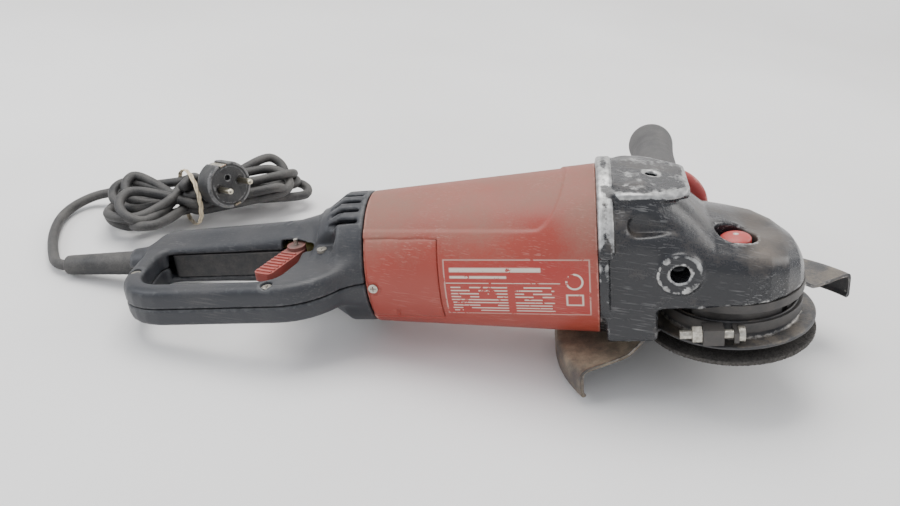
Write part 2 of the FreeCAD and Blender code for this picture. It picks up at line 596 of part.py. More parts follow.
nut = hexagon(10, 6).cut(Part.makeCylinder(3, 8, Vector(0, 0, -1)))
node("clamp_nut", feature("bolt_nut", placed(nut, (-30.4, bolt_at, -38.5), X)))
lug = Part.makeBox(13, 11, 11, Vector(-24, bolt_at - 5.5, -44))
node("clamp_block", feature("bolt_block", lug.cut(
    [Part.makeCylinder(3, 20, Vector(-27, bolt_at, -38.5), X),
     Part.makeCylinder(collar + 4.1, 20, Vector(0, 0, -50))])))

# --- rear handle -------------------------------------------------------------------------------
half = size("loop_half")
grip_y, grip_radius, grip_wide = size("grip_y"), size("grip_radius"), size("grip_wide")
loop = plate([(-412, 21), (-413, -10), (-409, -75), (-276, -75), (-247, -44), (-247, 42),
              (-286, 31)], [18, 12, 42, 42, 3, 6, 12], -half, half)
gap = plate([(-400, -9), (-396, -61), (-298, -61), (-290, -34), (-292, -7)],
            [10, 20, 14, 16, 8], -half - 40, half + 40)
grip = Part.makeCone(grip_radius - 0.6, grip_wide, 98, Vector(-398, grip_y, 0), X)
grip_end = Part.makeSphere(grip_radius, Vector(-396, grip_y, 0))
boot_collar = Part.makeCone(10.8, 13.1, 24, Vector(-428, 0, 0), X)
throat = Part.makeCone(grip_wide, 34, 34, Vector(-306, grip_y * 0.7, 0), X)
neck_profile = [(-241.5, 0), (-241.5, size("neck_radius")), (-259, size("neck_radius")),
                (-276, 33), (-276, 0)]
neck_solid = Part.Face(Part.makePolygon([Vector(x, 0, z) for x, z in
                                         neck_profile + neck_profile[:1]])).revolve(Vector(), X, 360)
handle = neck_solid.fuse([loop, grip, grip_end, boot_collar, throat]).cut(gap)
room_profile = [(-254.8, 0), (-254.8, 40.5), (-261, 40.5), (-274, 28), (-274, 0)]
neck_room = Part.Face(Part.makePolygon([Vector(x, 0, z) for x, z in
                                        room_profile + room_profile[:1]])).revolve(Vector(), X, 360)
swivel_hole = Part.makeCylinder(size("swivel_radius") + 0.4, 30, Vector(-262, 0, 0), X)
grip_room = Part.makeCylinder(14.2, 125, Vector(-395, grip_y, 0), X)
trigger_slot = Part.makeBox(94, 24, 18, Vector(-396, -12, -9))
boot_hole = Part.makeCylinder(size("boot_radius"), 46, Vector(-440, 0, 0), X)
lever_slot = Part.makeBox(26, 24, 13, Vector(-309, -20, 3))
HANDLE_SCREWS = [(-272, -30, 20), (-300, -68, 12), (-404, -42, 12), (-290, 33, 12)]
tools = [neck_room, swivel_hole, grip_room, trigger_slot, boot_hole, lever_slot]
for x, y, top in HANDLE_SCREWS:
    tools.append(Part.makeCylinder(3.6, 40, Vector(x, y, top - 2.1)))
    tools.append(Part.makeCylinder(1.8, 20, Vector(x, y, top - 18)))
for x, y, low, high in (("trigger_pivot_x", "trigger_pivot_y", -13, 13),
                        ("lever_pivot_x", "lever_pivot_y", 0, 19)):
    tools.append(Part.makeCylinder(size("pin_wire"), high - low, Vector(size(x), size(y), low)))
handle = handle.cut(tools)
above = Part.makeBox(240, 180, 80, Vector(-450, -90, 0))
below = Part.makeBox(240, 180, 80, Vector(-450, -90, -80))
upper, lower = handle.common(above), handle.common(below)
node("handle_upper_shell", feature("upper_shell", upper.removeSplitter()))
node("handle_lower_shell", feature("lower_shell", lower.removeSplitter()))
handle_screw = screw(3.4, 1.8, 14)
node("handle_screws", feature("shell_screws", Part.makeCompound([
    placed(handle_screw, (x, y, top), Z) for x, y, top in HANDLE_SCREWS])))

node("swivel_ring", cut("retaining_ring", tube(
    "ring_blank", "swivel_radius + 4.5", "swivel_radius - 3", "housing_rear - 17.4", "3.3", X),
    ring_screw_holes("ring_hole")))
ring_screw = screw(2.6, 1.0, 6)
node("swivel_ring_screws", feature("ring_screws", Part.makeCompound([
    placed(ring_screw, (size("housing_rear") - 19.0, y, z), Vector(-1, 0, 0))
    for y, z in RING_SCREWS])))

node("switch_body", padded("switch", "XY_Plane", [
    ("-372", "8.2"), ("-326", "8.2"), ("-326", "22"), ("-372", "22")], "15"))
node("noise_capacitor", rod("capacitor_can", "6.5", "24", ("-314", "14", "0"), X))
node("cable_clamp", padded("clamp_bar", "XY_Plane", [
    ("-391", "3.8"), ("-383", "3.8"), ("-383", "22"), ("-391", "22")], "5"))
node("cord_boot", turned("boot", [
    ("boot_start", "cord_radius + 0.1"), ("boot_start", "boot_radius"),
    ("-428", "boot_radius"), ("boot_end", "boot_end_radius"),
    ("boot_end", "0"), ("boot_end + 20", "0"), ("boot_end + 20", "cord_radius + 0.1")]))

pin_gap = size("pin_wire") + 0.06
paddle = plate([(-393, -9), (-307, -9), (-307, -2), (-326, 1), (-383, 3), (-393, 2)],
               [3, 3, 2, 10, 4, 3], -8.4, 8.4)
pivot = Vector(size("trigger_pivot_x"), size("trigger_pivot_y"), -10)
paddle = paddle.cut(Part.makeCylinder(pin_gap, 20, pivot))
node("trigger_paddle", feature("paddle", paddle))
node("handle_pins", feature("hinge_pins", Part.makeCompound([
    Part.makeCylinder(size("pin_wire"), 26, Vector(size("trigger_pivot_x"),
                                                   size("trigger_pivot_y"), -13)),
    Part.makeCylinder(size("pin_wire"), 19, Vector(size("lever_pivot_x"),
                                                   size("lever_pivot_y"), 0))])))
node("trigger_spring", feature("trigger_coil", placed(
    spring(2.6, 0.4, 6.4, 4), (-332, 1.6, 0), Y)))

lever = plate([(-7, -2), (-7, 41), (7, 41), (7, -2)], [3, 3, 3, 3], 0, 6.5)
boss = Part.makeCylinder(6.5, 9, Vector(0, 0, 0))
ribs = [Part.makeBox(12, 1.6, 1.2, Vector(-6, 9 + 4 * i, 6.3)) for i in range(8)]
lever = lever.fuse([boss, *ribs]).cut(Part.makeCylinder(pin_gap, 14, Vector(0, 0, -1)))
node("lock_lever", feature("lever", lever.removeSplitter()),
     Placement(Vector(size("lever_pivot_x"), size("lever_pivot_y"), 5.5), Rotation(Z, 161)))

# --- side handle, screwed into the far side ----------------------------------------------------
to_far_side = Placement(Vector(size("handle_thread_x"), 0, size("handle_thread_z")),
                        Rotation(Z, Y))
node("side_handle_flange", turned("side_flange", [
    ("6", "53.2"), ("side_flange_radius - 4", "53.2"), ("side_flange_radius", "56"),
    ("side_flange_radius - 1", "59"), ("side_flange_radius - 9", "63.5"),
    ("side_grip_radius", "side_grip_start"), ("6", "side_grip_start")], "V_Axis"), to_far_side)
node("side_handle_grip", turned("side_grip", [
    ("6", "side_grip_start"), ("side_grip_radius", "side_grip_start"),
    ("side_grip_radius - 1", "side_grip_start + 8"),
    ("side_grip_radius + 0.6", "side_grip_start + 60"),
    ("side_grip_radius + 0.6", "side_grip_end - 34"),
    ("side_grip_radius + 2.8", "side_grip_end - 7"), ("side_grip_radius + 0.5", "side_grip_end"),
    ("0", "side_grip_end"), ("0", "130"), ("6", "130")], "V_Axis"), to_far_side)
node("side_handle_stud", turned("side_stud", [
    ("0", "38"), ("5.2", "38"), ("6", "39"), ("6", "130"), ("0", "130")], "V_Axis"), to_far_side)

# --- how the tool lies -------------------------------------------------------------------------
rest = Placement(Vector(size("rest_shift_x"), size("rest_shift_y"), size("rest_shift_z")),
                 Rotation(X, size("rest_roll")).multiply(Rotation(Y, -size("rest_tilt"))))
doc.recompute()

# --- cord, plug and the band round the hank, on the floor ---------------------------------------
# The lead's route, from the boot to the hank: X, Y and the height of its middle.
LEAD = [(-302.7, -66.2, 5.6), (-317.9, -44.0, 4.3), (-330.4, -21.0, 4.2), (-340.4, 7.0, 4.2),
        (-340.4, 31.0, 5.2), (-330.4, 47.5, 8.5), (-316.9, 50.5, 12.5), (-299.9, 53.5, 17.5),
        (-274.4, 57.5, 24.0), (-252.4, 60.0, 29.0)]
boot_exit = rest.multVec(Vector(size("boot_end") - 0.2, 0, 0))
route = [boot_exit] + [Vector(*point) for point in LEAD]
lead_radii = [0]
for before, here, after in zip(route, route[1:], route[2:]):
    shorter = min(before.distanceToPoint(here), here.distanceToPoint(after))
    turn = (here - before).getAngle(after - here)
    lead_radii.append(0.45 * shorter / math.tan(turn / 2))
lead_radii.append(0)
lead_path = rounded_wire(route, lead_radii)
lead_start = (route[1] - route[0]).normalize()
lead_section = Part.Wire(Part.makeCircle(size("cord_radius"), route[0], lead_start))
lead = lead_path.makePipeShell([lead_section], True, True)
print("boot exit", boot_exit, "lead", round(lead_path.Length), "mm, volume",
      round(lead.Volume / (math.pi * size("cord_radius") ** 2 * lead_path.Length), 3),
      "radii", [round(value) for value in lead_radii[1:-1]])

# distance along the hank, half width, half height, height of the middle
HANK_SECTIONS = [(-89, 14, 8, 9.5), (-76, 38, 17, 17.8), (-50, 47, 21, 21.5), (-18, 28, 21, 23),
                 (0, 25, 20.5, 23.5), (30, 34, 23, 23.5), (60, 35, 22, 22.5), (84, 26, 16, 17),
                 (97, 9, 6, 12)]
hank_frame = Placement(Vector(-230.1, 53.2, 0), Rotation(Z, 40))


def oval(along, half_width, half_height, middle):
    """An upright oval across the hank's length."""
    wide, tall = max(half_width, half_height), min(half_width, half_height)
    ring = Part.Ellipse(Vector(), wide, tall).toShape()
    ring.Placement = Placement(Vector(along, 0, middle), Rotation(Y, 90).multiply(Rotation(Z, 90)))
    return Part.Wire(ring)


plug_frame = Placement(Vector(-200.2, 31, 46.1), Rotation(Z, Vector(0.73, -0.619, 0.289)))
hank = Part.makeLoft([oval(*row) for row in HANK_SECTIONS], True, True)
hank.Placement = hank_frame
plug_room = Part.makeCone(7.5, 20.5, 23, Vector(0, 0, -43))
plug_room = plug_room.fuse(Part.makeCylinder(20.5, 30, Vector(0, 0, -20)))
plug_room.Placement = plug_frame
hank = hank.cut([plug_room, lead])
band_outer = Part.Face(oval(-17, 30, 22.9, 23.2)).extrude(Vector(5, 0, 0))
band_inner = Part.Face(oval(-17, 28.3, 21.3, 23.2)).extrude(Vector(5, 0, 0))
hank_band = band_outer.cut(band_inner)
hank_band.Placement = hank_frame
hank_band = hank_band.cut([plug_room, lead])
cord_nodes = [node("cord_lead", feature("lead_tube", lead)), node("cord_hank", feature("hank", hank)),
              node("hank_band", feature("band_round_hank", hank_band))]

plug_blank = turned("plug_turning", [
    ("0", "0"), ("17.5", "0"), ("19.5", "-2"), ("19.5", "-20"), ("9", "-34"), ("6.5", "-42"),
    ("0", "-42")], "V_Axis")
plug_notches = [block(f"plug_notch_{side}", (f"{side} * 18.2 - 2", "-3.2", "-24"),
                      ("4", "6.4", "25")) for side in (-1, 1)]
plug_pin_holes = [rod(f"plug_pin_hole_{side}", "2.4", "8", ("0", f"{side} * 9.5", "-8"))
                  for side in (-1, 1)]
plug_tools = [*plug_notches, *plug_pin_holes]
plug_turn = Placement(Vector(), Rotation(Z, 152))
plug_place = plug_frame.multiply(plug_turn)
cord_nodes.append(node("plug_body", cut("plug", plug_blank, plug_tools), plug_place))
cord_nodes.append(node("plug_pins", group("pin_pair", [
    rod(f"plug_pin_{side}", "2.4", "27", ("0", f"{side} * 9.5", "-8")) for side in (-1, 1)]),
    plug_place))
cord_nodes.append(node("plug_earth_clips", group("clip_pair", [
    block(f"earth_clip_{side}", (f"{side} * 17.2 - 0.5", "-2.6", "-20"), ("1", "5.2", "20.6"))
    for side in (-1, 1)]), plug_place))

# capacitor and every other lone primitive is placed by the sheet, so it is wrapped first
for i, item in enumerate(nodes):
    if item.TypeId == "Part::Cylinder":
        label = item.Label
        item.Label = label + "_can"
        nodes[i] = group(label + "_piece", [item])
        nodes[i].Label = label
doc.recompute()
for item in nodes:
    if item not in cord_nodes:
        item.Placement = rest.multiply(item.Placement)

for item in doc.Objects:
    if "Invalid" in item.State or "Error" in item.State:
        raise RuntimeError(f"{item.Name} failed: {item.State}")
for item in nodes:
    if item.Shape.isNull() or not item.Shape.isValid():
        raise RuntimeError(f"{item.Label} has no sound shape")

os.makedirs("parts", exist_ok=True)
for old in os.listdir("parts"):
    os.remove(os.path.join("parts", old))
for item in nodes:
    item.Shape.exportStep(f"parts/{item.Label}.step")
print(len(nodes), "nodes")
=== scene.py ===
import math

import bpy
import json
import numpy as np
from mathutils import Matrix, Vector


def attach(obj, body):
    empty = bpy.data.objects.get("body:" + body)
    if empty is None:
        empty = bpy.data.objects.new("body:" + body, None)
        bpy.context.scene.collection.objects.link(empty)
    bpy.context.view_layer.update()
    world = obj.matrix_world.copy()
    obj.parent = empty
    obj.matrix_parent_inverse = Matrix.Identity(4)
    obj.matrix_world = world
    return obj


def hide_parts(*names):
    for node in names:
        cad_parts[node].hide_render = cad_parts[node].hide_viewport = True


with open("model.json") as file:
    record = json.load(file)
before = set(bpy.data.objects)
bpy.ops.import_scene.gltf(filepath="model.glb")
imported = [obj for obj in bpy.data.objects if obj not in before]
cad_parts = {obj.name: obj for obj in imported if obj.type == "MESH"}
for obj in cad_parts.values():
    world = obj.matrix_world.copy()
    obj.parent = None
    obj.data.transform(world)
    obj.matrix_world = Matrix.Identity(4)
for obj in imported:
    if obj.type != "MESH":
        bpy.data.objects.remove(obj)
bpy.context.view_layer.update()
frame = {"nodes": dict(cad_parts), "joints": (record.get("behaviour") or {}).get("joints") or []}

# How the grinder lies
# The tool rests on its guard and rear handle, nose up. Everything below is drawn in the tool's own
# millimetres: X along the motor, Z up the spindle, Y to the far side, meeting where the gears do.
joints = {joint["name"]: joint for joint in frame["joints"]}
motor_line = Vector(joints["armature_spin"]["axis"]).normalized()
spindle_line = Vector(joints["spindle_spin"]["axis"]).normalized()
side_line = spindle_line.cross(motor_line).normalized()
on_spindle = Vector(joints["spindle_spin"]["pos_m"])
on_motor = Vector(joints["armature_spin"]["pos_m"])
crossing = on_spindle + spindle_line * (on_motor - on_spindle).dot(spindle_line)
MM = 0.001
lie = Matrix((motor_line, side_line, spindle_line)).transposed().to_4x4()
lie.translation = crossing
lie = lie @ Matrix.Scale(MM, 4)


def at(x, y, z):
    """A point of the tool, in the floor's metres."""
    return lie @ Vector((x, y, z))


# Floor, light and camera
# A pale paper sheet under soft overhead light; the camera stands over the near side of the tool.
# Each finish in this file is a material with one Principled shader, wired by these helpers.
def node(tree, kind, settings=None, **links):
    """A shader node; each link is a value or another node's output, by input name."""
    made = tree.nodes.new("ShaderNode" + kind)
    for key, value in (settings or {}).items():
        setattr(made, key, value)
    for key, value in links.items():
        name = key.replace("_", " ")
        socket = made.inputs[int(key[1:])] if key[0] == "i" and key[1:].isdigit() else made.inputs[name]
        if isinstance(value, bpy.types.NodeSocket):
            tree.links.new(value, socket)
        else:
            socket.default_value = value
    return made


def finish(name, **surface):
    """A new material; returns it, its tree and its shader."""
    material = bpy.data.materials.new(name)
    material.use_nodes = True
    tree = material.node_tree
    shader = tree.nodes["Principled BSDF"]
    for key, value in surface.items():
        shader.inputs[key.replace("_", " ")].default_value = value
    return material, tree, shader


def ramp(tree, factor, stops):
    """A colour ramp; each stop is a position and a grey or a colour."""
    made = tree.nodes.new("ShaderNodeValToRGB")
    tree.links.new(factor, made.inputs["Fac"])
    elements = made.color_ramp.elements
    while len(elements) < len(stops):
        elements.new(0.5)
    for element, (place_on, colour) in zip(elements, stops):
        element.position = place_on
        colour = (colour,) * 3 if isinstance(colour, (int, float)) else colour
        element.color = (*colour, 1.0)
    return made.outputs["Color"]


def object_place(tree):
    return tree.nodes.new("ShaderNodeTexCoord").outputs["Object"]


def feed(tree, shader, **values):
    """Links outputs into the shader's named inputs."""
    for key, value in values.items():
        tree.links.new(value, shader.inputs[key.replace("_", " ")])


def mesh_piece(name, points, faces, material=None, smooth=True):
    """A mesh object from points in the floor's metres."""
    mesh = bpy.data.meshes.new(name)
    mesh.from_pydata([tuple(point) for point in points], [], [tuple(face) for face in faces])
    mesh.validate()
    mesh.update()
    mesh.polygons.foreach_set("use_smooth", [smooth] * len(mesh.polygons))
    item = bpy.data.objects.new(name, mesh)
    bpy.context.scene.collection.objects.link(item)
    if material:
        mesh.materials.append(material)
    return item


paper, tree, shader = finish("floor_paper", Roughness=0.75)
shade = node(tree, "TexNoise", Vector=object_place(tree), Scale=1.6, Detail=3.0)
feed(tree, shader, Base_Color=ramp(tree, shade.outputs[0],
                                   [(0.35, (0.76, 0.75, 0.735)), (0.7, (0.86, 0.855, 0.845))]))
floor_size, floor_back, floor_rise = 6.0, 1.1, 2.6
sweep = [(-floor_size / 2, -0.0005)] + [(floor_back, -0.0005)]
sweep += [(floor_back + 0.5 * math.sin(a), 0.5 - 0.5005 * math.cos(a))
          for a in np.linspace(0.15, math.pi / 2, 12)]
sweep.append((floor_back + 0.5, floor_rise))
floor_points = [(side * floor_size / 2, y, z) for y, z in sweep for side in (-1, 1)]
floor_faces = [(2 * i, 2 * i + 1, 2 * i + 3, 2 * i + 2) for i in range(len(sweep) - 1)]
mesh_piece("floor", floor_points, floor_faces, paper)

world = bpy.data.worlds.new("studio")
bpy.context.scene.world = world
world.use_nodes = True
world.node_tree.nodes["Background"].inputs["Color"].default_value = (0.93, 0.95, 1.0, 1.0)
world.node_tree.nodes["Background"].inputs["Strength"].default_value = 0.95


def lamp(name, place_at, aim, width, watts, colour):
    """A soft rectangular light pointed at the tool."""
    light = bpy.data.lights.new(name, "AREA")
    light.shape, light.size, light.size_y = "RECTANGLE", width, width * 0.7
    light.energy, light.color = watts, colour
    item = bpy.data.objects.new(name, light)
    item.location = place_at
    item.rotation_euler = (Vector(aim) - Vector(place_at)).to_track_quat("-Z", "Y").to_euler()
    bpy.context.scene.collection.objects.link(item)


lamp("ceiling", (-0.3, 0.35, 1.7), (0, 0, 0), 1.5, 33, (1.0, 0.985, 0.96))
lamp("window", (-1.6, -0.5, 1.1), (0, 0, 0.05), 1.0, 12, (0.93, 0.96, 1.0))
lamp("far_fill", (1.5, 0.5, 1.0), (0, 0, 0.05), 1.0, 10, (1.0, 0.98, 0.95))

camera_at, camera_aim = at(-91.5, -545.1, 258.8), (-0.161, 0.891, -0.424)
camera_right = (0.986, 0.131, -0.099)
lens = bpy.data.cameras.new("camera")
lens.sensor_width, lens.lens = 36.0, 34.8
lens.clip_start = 0.01
camera = bpy.data.objects.new("camera", lens)
turn = lie.to_3x3().normalized()
forward = (turn @ Vector(camera_aim)).normalized()
across = (turn @ Vector(camera_right)).normalized()
upright = across.cross(forward)
camera.matrix_world = Matrix((across, upright, -forward)).transposed().to_4x4()
camera.location = camera_at
bpy.context.scene.collection.objects.link(camera)
bpy.context.scene.camera = camera

# Cord
# Two and a half metres of 8 mm rubber mains cord: a loose lead from the boot, then seven turns
# folded into a hank that a rubber band ties at the waist, ending in the plug.
def effect(name, inputs, outputs):
    """An empty node group with named inputs and outputs, to be wired once and placed often."""
    group = bpy.data.node_groups.new(name, "ShaderNodeTree")
    for label, kind, value in inputs:
        socket = group.interface.new_socket(label, in_out="INPUT", socket_type="NodeSocket" + kind)
        if kind == "Float":
            socket.default_value = value
    for label, kind in outputs:
        group.interface.new_socket(label, in_out="OUTPUT", socket_type="NodeSocket" + kind)
    return group, group.nodes.new("NodeGroupInput").outputs, group.nodes.new("NodeGroupOutput").inputs


def place(tree, group, **values):
    """One use of an effect in a material."""
    made = tree.nodes.new("ShaderNodeGroup")
    made.node_tree = group
    for key, value in values.items():
        socket = made.inputs[key.replace("_", " ")]
        if isinstance(value, bpy.types.NodeSocket):
            tree.links.new(value, socket)
        else:
            socket.default_value = value
    return made.outputs


def blend_colour(tree, factor, below, above):
    """One colour over another through a mask."""
    made = node(tree, "Mix", {"data_type": "RGBA"})
    for socket, value in ((made.inputs[0], factor), (made.inputs[6], below), (made.inputs[7], above)):
        if isinstance(value, bpy.types.NodeSocket):
            tree.links.new(value, socket)
        else:
            socket.default_value = (*value, 1.0) if isinstance(value, tuple) else value
    return made.outputs[2]


def reckon(tree, operation, first, second=0.0, third=0.0, clamp=False):
    """A Math node's result."""
    made = node(tree, "Math", {"operation": operation, "use_clamp": clamp},
                i0=first, i1=second, i2=third)
    return made.outputs[0]


def times(tree, first, second, clamp=False):
    """Two values multiplied."""
    return reckon(tree, "MULTIPLY", first, second, clamp=clamp)


def bump(tree, shader, height, strength, distance=0.0004):
    """Feeds a height into the shader's normal."""
    made = node(tree, "Bump", Strength=strength, Distance=distance, Height=height)
    tree.links.new(made.outputs["Normal"], shader.inputs["Normal"])


# dust: settles on what faces up when the tool stands as it was used, patchily
dust_group, given, result = effect(
    "Dust", [("Amount", "Float", 0.5), ("Scale", "Float", 30.0), ("Facing", "Float", 0.5)],
    [("Mask", "Float")])
coords = dust_group.nodes.new("ShaderNodeTexCoord")
patches = node(dust_group, "TexNoise", Vector=coords.outputs["Object"], Scale=given["Scale"],
               Detail=8.0, Roughness=0.68)
specks = node(dust_group, "TexNoise", Vector=coords.outputs["Object"], Scale=900.0, Detail=2.0)
upward = node(dust_group, "SeparateXYZ", Vector=coords.outputs["Normal"]).outputs["Z"]
settled = reckon(dust_group, "MULTIPLY_ADD", upward, given["Facing"], given["Amount"])
grey = reckon(dust_group, "MULTIPLY_ADD", patches.outputs[0], 1.6, -0.8)
total = reckon(dust_group, "ADD", settled, grey)
flecked = reckon(dust_group, "MULTIPLY_ADD", specks.outputs[0], 0.5, -0.25)
dust_mask = reckon(dust_group, "ADD", total, flecked, clamp=True)
dust_group.links.new(dust_mask, result["Mask"])

# grain: the height of a moulded or cast skin
grain_group, given, result = effect("Grain", [("Scale", "Float", 900.0)], [("Height", "Float")])
coords = grain_group.nodes.new("ShaderNodeTexCoord").outputs["Object"]
fine = node(grain_group, "TexNoise", Vector=coords, Scale=given["Scale"], Detail=4.0, Roughness=0.6)
slow = node(grain_group, "TexNoise", Vector=coords, Scale=60.0, Detail=3.0)
grain_group.links.new(reckon(grain_group, "MULTIPLY_ADD", slow.outputs[0], 0.6, fine.outputs[0]),
                      result["Height"])


def dusted(tree, amount, scale, facing):
    """The mask of settled dust."""
    return place(tree, dust_group, Amount=amount, Scale=scale, Facing=facing)["Mask"]


def grain(tree, scale):
    """The height of a moulded skin."""
    return place(tree, grain_group, Scale=scale)["Height"]


rubber, tree, shader = finish("cord_rubber", Roughness=0.6)
dusty = dusted(tree, 0.16, 45.0, 0.2)
feed(tree, shader, Base_Color=blend_colour(tree, dusty, (0.020, 0.020, 0.021), (0.15, 0.142, 0.13)),
     Roughness=reckon(tree, "MULTIPLY_ADD", dusty, 0.35, 0.5))
bump(tree, shader, grain(tree, 700.0), 0.35)

CORD = 0.008
lead = [(-0.2929, -0.0661, 0.0077), (-0.3027, -0.0662, 0.0056), (-0.3179, -0.0440, 0.0043),
        (-0.3304, -0.0210, 0.0042), (-0.3404, 0.0070, 0.0042), (-0.3404, 0.0310, 0.0052),
        (-0.3304, 0.0475, 0.0085), (-0.3169, 0.0505, 0.0125), (-0.2999, 0.0535, 0.0175),
        (-0.2744, 0.0575, 0.0240), (-0.2524, 0.0600, 0.0290)]
hank_place = Matrix.Translation((-0.2301, 0.0532, 0)) @ Matrix.Rotation(math.radians(40), 4, "Z")


def in_hank(along, side, height):
    """A point of the hank, from millimetres along it, across it and up."""
    return hank_place @ Vector((along * MM, side * MM, height * MM))


# each turn: which end, how far it reaches, where its loop's middle stands, half its width, its lean
WAIST = -14.0
rng = np.random.default_rng(8)
turns = [(1, 84, 8, 26, 21, -28), (-1, 74, 22, 22, 22, 12), (1, 92, -2, 15, 14, 6),
         (-1, 84, -3, 20, 27, -12), (1, 78, 12, 30, 17, 35), (-1, 70, -26, 18, 20, -20),
         (1, 66, -14, 21, 19, -42), (-1, 80, 8, 12, 24, 4), (1, 88, 10, 19, 16, -8),
         (-1, 62, 24, 26, 18, 24), (1, 72, -6, 29, 20, 15), (-1, 77, -14, 29, 22, 16),
         (1, 60, 16, 13, 18, 0)]
packing = [(0, 0), (8.6, 1), (-8.6, -1), (4.5, 8.4), (-4.5, 8.0), (4.0, -8.2), (-4.6, -8.4), (13, 8),
           (-13, 7), (12.8, -7.4), (-13, -8), (17, 0.4), (-17, 0), (0.5, 15), (-8.5, 14)]
strands = [in_hank(-4, 14, 36)]
for fold, (sign, reach, side_at, rise_at, half, lean) in enumerate(turns):
    tilt = math.radians(lean)
    one, two = packing[fold % len(packing)], packing[(fold + 1) % len(packing)]
    reach, half = reach + rng.uniform(-1.5, 1.5), half + rng.uniform(-1, 1)

    def strand(along, side, rise):
        """Keeps a strand off the floor and inside the hank's outline."""
        strands.append(in_hank(along, side, min(41.5, max(4.3, rise))))

    for way in (-1, 1):
        tied = one if way < 0 else two
        shares = (0.22, 0.6) if way < 0 else (0.6, 0.22)
        if way > 0:
            for step in np.linspace(-75, 75, 5):
                swing = math.radians(step)
                strand(sign * (reach - half * (1 - math.cos(swing))),
                       side_at + half * math.sin(swing) * math.cos(tilt),
                       rise_at + half * math.sin(swing) * math.sin(tilt))
        for share in shares:
            strand(WAIST + (sign * (reach - half) - WAIST) * share,
                   tied[0] + (side_at + way * half * math.cos(tilt) - tied[0]) * share,
                   23 + tied[1] + (rise_at + way * half * math.sin(tilt) - 23 - tied[1]) * share)
    if fold < len(turns) - 1:
        strand(WAIST, two[0], 23 + two[1])
strands += [in_hank(-26, -12, 37), in_hank(-17, -4, 41), in_hank(-8, 1, 39), in_hank(1.8, 3.4, 34)]


def bent_line(name, points, radius, material, sides=5):
    """A smooth round line through its control points."""
    curve = bpy.data.curves.new(name, "CURVE")
    curve.dimensions = "3D"
    spline = curve.splines.new("NURBS")
    spline.points.add(len(points) - 1)
    for point, place_at in zip(spline.points, points):
        point.co = (*place_at, 1.0)
    spline.order_u = 3
    spline.use_endpoint_u = True
    spline.resolution_u = 6
    curve.bevel_depth = radius
    curve.bevel_resolution = sides
    curve.use_fill_caps = True
    item = bpy.data.objects.new(name, curve)
    bpy.context.scene.collection.objects.link(item)
    curve.materials.append(material)
    return item


flex = bent_line("mains_cord", lead + [tuple(point) for point in strands], CORD / 2, rubber)
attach(flex, "tool")
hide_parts("cord_lead", "cord_hank")

# Motor housing
# A tapered tube of red glass-filled nylon round the motor, its top panel sunk a millimetre; the
# gear casting is screwed to its wide end. Long use has faded, scratched and dusted it.
# scratches: thin, nearly straight marks in two directions, thinned out by a slow noise
scratch_group, given, result = effect(
    "Scratches", [("Scale", "Float", 1.0), ("Amount", "Float", 0.5)], [("Mask", "Float")])
coords = scratch_group.nodes.new("ShaderNodeTexCoord").outputs["Object"]
marks = []
for turn, stretch in (((0.3, 0.9, 0.4), (40.0, 900.0, 900.0)), ((1.3, -0.5, 1.1), (60.0, 1100.0, 1100.0)),
                      ((-0.6, 0.2, 2.2), (50.0, 1300.0, 1300.0))):
    turned = node(scratch_group, "Mapping", Vector=coords, Rotation=turn, Scale=stretch)
    lines = node(scratch_group, "TexNoise", Vector=turned.outputs[0], Scale=given["Scale"],
                 Detail=1.0, Distortion=0.15)
    marks.append(ramp(scratch_group, lines.outputs[0], [(0.66, 0.0), (0.70, 1.0)]))
either = reckon(scratch_group, "MAXIMUM", marks[0], reckon(scratch_group, "MAXIMUM", marks[1],
                                                           marks[2]))
where = node(scratch_group, "TexNoise", Vector=coords, Scale=38.0, Detail=3.0)
thin = reckon(scratch_group, "MULTIPLY_ADD", where.outputs[0], 2.4, -0.95, clamp=True)
scratched_there = times(scratch_group, either, thin)
scratch_group.links.new(times(scratch_group, scratched_there, given["Amount"], clamp=True),
                        result["Mask"])

# worn edges: bare where the mesh is convex, broken up by noise
wear_group, given, result = effect(
    "Edge wear", [("Edge", "Float", 0.0), ("Amount", "Float", 0.5), ("Scale", "Float", 120.0)],
    [("Mask", "Float")])
coords = wear_group.nodes.new("ShaderNodeTexCoord").outputs["Object"]
break_up = node(wear_group, "TexNoise", Vector=coords, Scale=given["Scale"], Detail=7.0, Roughness=0.7)
worn = reckon(wear_group, "MULTIPLY_ADD", break_up.outputs[0], 1.8, -0.9)
worn = reckon(wear_group, "ADD", reckon(wear_group, "MULTIPLY_ADD", given["Edge"], 2.0,
                                        given["Amount"]), worn)
wear_group.links.new(reckon(wear_group, "MULTIPLY_ADD", worn, 5.0, -3.0, clamp=True), result["Mask"])


def scratched(tree, scale, amount):
    """The mask of scratches."""
    return place(tree, scratch_group, Scale=scale, Amount=amount)["Mask"]


def worn(tree, amount, scale=120.0):
    """The mask of worn edges, from the piece's own sharpness."""
    return place(tree, wear_group, Edge=attribute(tree, "edge")["Fac"], Amount=amount,
                 Scale=scale)["Mask"]


